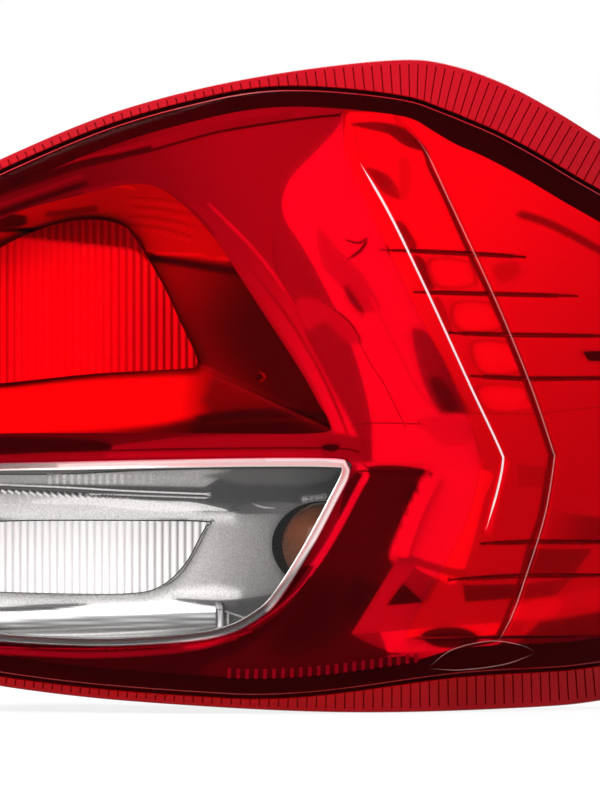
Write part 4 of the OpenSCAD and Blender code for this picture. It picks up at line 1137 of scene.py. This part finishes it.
def makeFluted(names, outline, middleZ, height, rows, material, level, valley, strip=None):
    parts = fluteParts
    lo, hi = outline[:, 0].min() + 0.05, outline[:, 0].max() - 0.05

    # painted shade in the flutes' valleys, over a painted gradient
    def fluted(p):
        u = (p[:, 0] - view["middle"][0]) / view["perMm"]
        u = u * (1 + skinW(u, np.full(len(u), middleZ), form["opticD"]) / (1000 * view["distance"]))
        wave = 0.5 + 0.5 * np.cos(2 * np.pi * (u - lo) / parts["pitch"])
        return np.clip(level(p) - valley(p) * wave ** 3, 0, 255)

    shadeStrokes = ShadeAndMarkStrokes(fluted)
    if strip:
        shadeStrokes.area(*strip)
    us = np.arange(lo, hi, parts["pitch"] / parts["perFlute"])
    after = np.roll(outline, -1, 0)
    ends = []
    for u in us:
        hit = (outline[:, 0] > u) != (after[:, 0] > u)
        a, b = outline[hit], after[hit]
        z = a[:, 1] + (u - a[:, 0]) * (b[:, 1] - a[:, 1]) / (b[:, 0] - a[:, 0])
        ends.append((z.min(), z.max()))
    low, high = np.array(ends).T
    f = np.linspace(0, 1, rows)[:, None]
    zs = low * (1 - f) + high * f
    base = skinW(us, np.full(len(us), middleZ), form["opticD"])
    wave = np.abs(np.sin(np.pi * (us - lo) / parts["pitch"]))
    sheets = [toRow(np.broadcast_to(us, zs.shape).ravel(), np.broadcast_to(w, zs.shape).ravel(), zs.ravel())
              for w in (base - height * wave, base + parts["thick"])]
    n, s = len(us), rows * len(us)
    k = (np.arange(rows - 1)[:, None] * n + np.arange(n - 1)).ravel()
    faces = [*np.stack([k, k + 1, k + n + 1, k + n], -1), *(np.stack([k, k + n, k + n + 1, k + 1], -1) + s)]
    edge = [*range(n), *(r * n + n - 1 for r in range(1, rows))]
    edge += [*((rows - 1) * n + i for i in range(n - 2, -1, -1)), *(r * n for r in range(rows - 2, 0, -1))]
    faces += [(a, a + s, b + s, b) for a, b in zip(edge, edge[1:] + edge[:1])]
    m = Maker()
    m.add(np.vstack(sheets), faces)
    name, node, slot = names
    m.build(name, [material], [node], 30, shadeStrokes=shadeStrokes)


# the valleys are painted darker towards the ends of each optic; the stop optic also gets a darker striped
# strip along its top
makeFluted(("stopInnerLens", "stop_inner_lens", "fluted_red"), shrunk(stopOptic, 0.3), 20, 0.7, 60, flutedRed,
           fade((90, 300), (200, 330), 255, 232),
           lambda p: 108 * smooth((p[:, 0] - 88) / 80) + 60 * smooth((32 - p[:, 0]) / 30),
           ([(-30, 190), (170, 190), (152, 257), (130, 249), (66, 242), (0, 235), (-30, 233)],
            lambda p: 132 + 26 * np.cos(2 * np.pi * p[:, 0] / 7.5), 2.0))
makeFluted(("reverseInnerLens", "reverse_inner_lens", "fluted_clear"), reverseOptic, -46, 0.6, 40,
           flutedClear, fade((0, 540), (200, 560), 226, 228),
           lambda p: 22 + 60 * smooth((p[:, 0] - 110) / 70) + 18 * smooth((60 - p[:, 0]) / 60))
print("chambers made")


# Side light blocks

blockParts = {"depth": 3.9, "thick": 1.8, "step": 1.6, "grooveHalf": 1.2, "grooveDeep": 1.6, "barWide": 5.0}


def blockFace(p):
    deep = 1 - smooth(distanceTo(p, grooveLine) / blockParts["grooveHalf"])
    for knots in finKnots:
        line = openCurve(knots, 6)
        half = 0.25 + 0.5 * np.interp(p[:, 0], line[:, 0], np.sin(np.pi * np.linspace(0, 1, len(line))))
        deep = np.maximum(deep, 1 - smooth(distanceTo(p, line) / half))
    return blockParts["depth"] + blockParts["grooveDeep"] * deep


def makeBlocks():
    parts = blockParts
    near = []
    for knots in finKnots:
        line = evenly(openCurve(knots, 8), 1.2)
        near += [line + (0, o) for o in (-0.8, -0.4, 0.0, 0.4, 0.8)]
    line = evenly(grooveLine, 1.2)
    t = np.gradient(line, axis=0)
    side = np.stack([t[:, 1], -t[:, 0]], -1) / np.linalg.norm(t, axis=1)[:, None]
    near += [line + side * o for o in (-1.3, -0.8, -0.4, 0.0, 0.4, 0.8, 1.3)]
    m = Maker()
    # the blocks carry the painted light and shade and the marks drawn above
    m.plate([bezelEdge(), blockRegion(0.03)], [], blockFace, parts["depth"] + parts["thick"], parts["step"],
            near + inner.rows(parts["depth"]))
    m.build("lightBlocks", [blockRed], ["light_blocks"], 30, shadeStrokes=inner)
    m = Maker()
    bar = evenly(ribbon(lightBarLine, parts["barWide"]), 1.0, loop=True)
    m.plate([bar], [], parts["depth"], form["chamberD"], 1.5)
    # the light bar carries the same painted light and shade
    m.build("lightBar", [bezelCoat], ["light_bar"], 40, shadeStrokes=inner)


makeBlocks()
print("blocks made")


# Housing, without the two paper-thin fins that its solid carries on its seam plane

def makeHousing():
    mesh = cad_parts["housing"].data.copy()
    mesh.name = "housingShell"
    work = bmesh.new()
    work.from_mesh(mesh)
    p = np.array([v.co for v in work.verts]) * 1000 + np.array(form["origin"])
    u, w, z = p[:, 0] * cosC + p[:, 1] * sinC, p[:, 1] * cosC - p[:, 0] * sinC, p[:, 2]
    proud = np.flatnonzero(w < skinW(u, z, form["seatD"]) - 0.25)
    work.verts.ensure_lookup_table()
    bmesh.ops.delete(work, geom=[work.verts[i] for i in proud], context="VERTS")
    bmesh.ops.remove_doubles(work, verts=work.verts, dist=4e-6)
    bmesh.ops.dissolve_degenerate(work, edges=work.edges, dist=1e-6)
    bmesh.ops.holes_fill(work, edges=work.edges, sides=12)
    work.to_mesh(mesh)
    work.free()
    mesh.materials.clear()
    mesh.materials.append(rimBlack)
    mesh.polygons.foreach_set("material_index", [0] * len(mesh.polygons))
    piece = bpy.data.objects.new("housingShell", mesh)
    bpy.context.scene.collection.objects.link(piece)
    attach(piece, "root")
    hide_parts("housing")
    print("fin points left out of the housing:", len(proud))


makeHousing()


# Finishes on the pieces that keep their solids

finishes = {
    "light_tray": silver, "led_board": boardGreen, "leds": ledResin, "board_spacers": whitePlastic,
    "stop_bulb_glass": clearGlass, "reverse_bulb_glass": clearGlass, "signal_bulb_glass": amberGlass,
    "stop_bulb_base": brass, "reverse_bulb_base": brass, "signal_bulb_base": brass,
    "signal_bulb_holder": plainBlack, "bulb_carrier": carrierGrey, "carrier_seal": sealRubber,
    "carrier_screws": screwSteel, "plug_socket": plainBlack, "socket_pins": brass,
    "body_gasket": gasketRubber, "main_stud": studSteel, "upper_stud": studSteel, "lower_stud": studSteel,
    "locating_peg": housingBlack, "vent_cap": plainBlack,
}
for name, material in finishes.items():
    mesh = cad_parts[name].data
    mesh.materials.clear()
    mesh.materials.append(material)
print("solids finished")


# Floor, lights and camera

studio = {
    "floor": (0.8, 0.8, 0.8), "floorGlow": 0.85, "sky": (0.9, 0.9, 0.92), "skyStrength": 0.64,
    "lamps": {  # place in the styling frame, size in metres, power
        "keyLamp": ((-700, -900, 900), (0.9, 0.9), 25), "fillLamp": ((300, -900, 1300), (1.2, 0.6), 10),
        "rearLamp": ((200, 1100, 900), (0.9, 0.9), 18)},
}


def floorFinish(name, colour, glow):
    p = Paint(name)
    plain = p.principled(colour, rough=0.7, normal=p.bump(p.noise(90, 2), 0.0002))
    bright = p.node("ShaderNodeEmission", {}, {"Color": (1, 1, 1, 1), "Strength": 1.0})
    return p.finish(p.blend(p.seen() * glow, plain, bright))


bpy.ops.mesh.primitive_plane_add(size=6, location=(0, 0, cadBox[0][2] - 0.0002))
floor = bpy.context.object
floor.name = "studioFloor"
floor.data.materials.append(floorFinish("paleFloor", studio["floor"], studio["floorGlow"]))

bpy.context.scene.world = bpy.data.worlds.new("studio")
sky = Paint(bpy.context.scene.world, "ShaderNodeOutputWorld")
grey = sky.node("ShaderNodeBackground", {}, {"Color": rgba(studio["sky"]), "Strength": studio["skyStrength"]})
white = sky.node("ShaderNodeBackground", {}, {"Color": (1, 1, 1, 1), "Strength": 1.0})
sky.finish(sky.blend(sky.seen(), grey, white))


def stylingPoint(u, w, z):
    return Vector(toRow(*(np.array([float(v)]) for v in (u, w, z)))[0])


def aimed(name, data, at, to):
    piece = bpy.data.objects.new(name, data)
    bpy.context.scene.collection.objects.link(piece)
    piece.location = stylingPoint(*at)
    piece.rotation_euler = (stylingPoint(*to) - piece.location).to_track_quat("-Z", "Y").to_euler()
    return piece


for name, (place, size, power) in studio["lamps"].items():
    light = bpy.data.lights.new(name, "AREA")
    light.shape = "RECTANGLE"
    light.size, light.size_y = size
    light.energy = power
    aimed(name, light, place, (0, 0, 0))

camera = bpy.data.cameras.new("photoCamera")
camera.sensor_width = 36
camera.lens = view["perMm"] * 1000 * view["distance"] * camera.sensor_width / view["tall"]
camera.clip_end = 50
away, height = 1000 * view["distance"], view["aimZ"]
bpy.context.scene.camera = aimed("photoCamera", camera, (0, -away, height), (0, 0, height))
bpy.context.scene.view_settings.view_transform = "Standard"

print("scene ready")
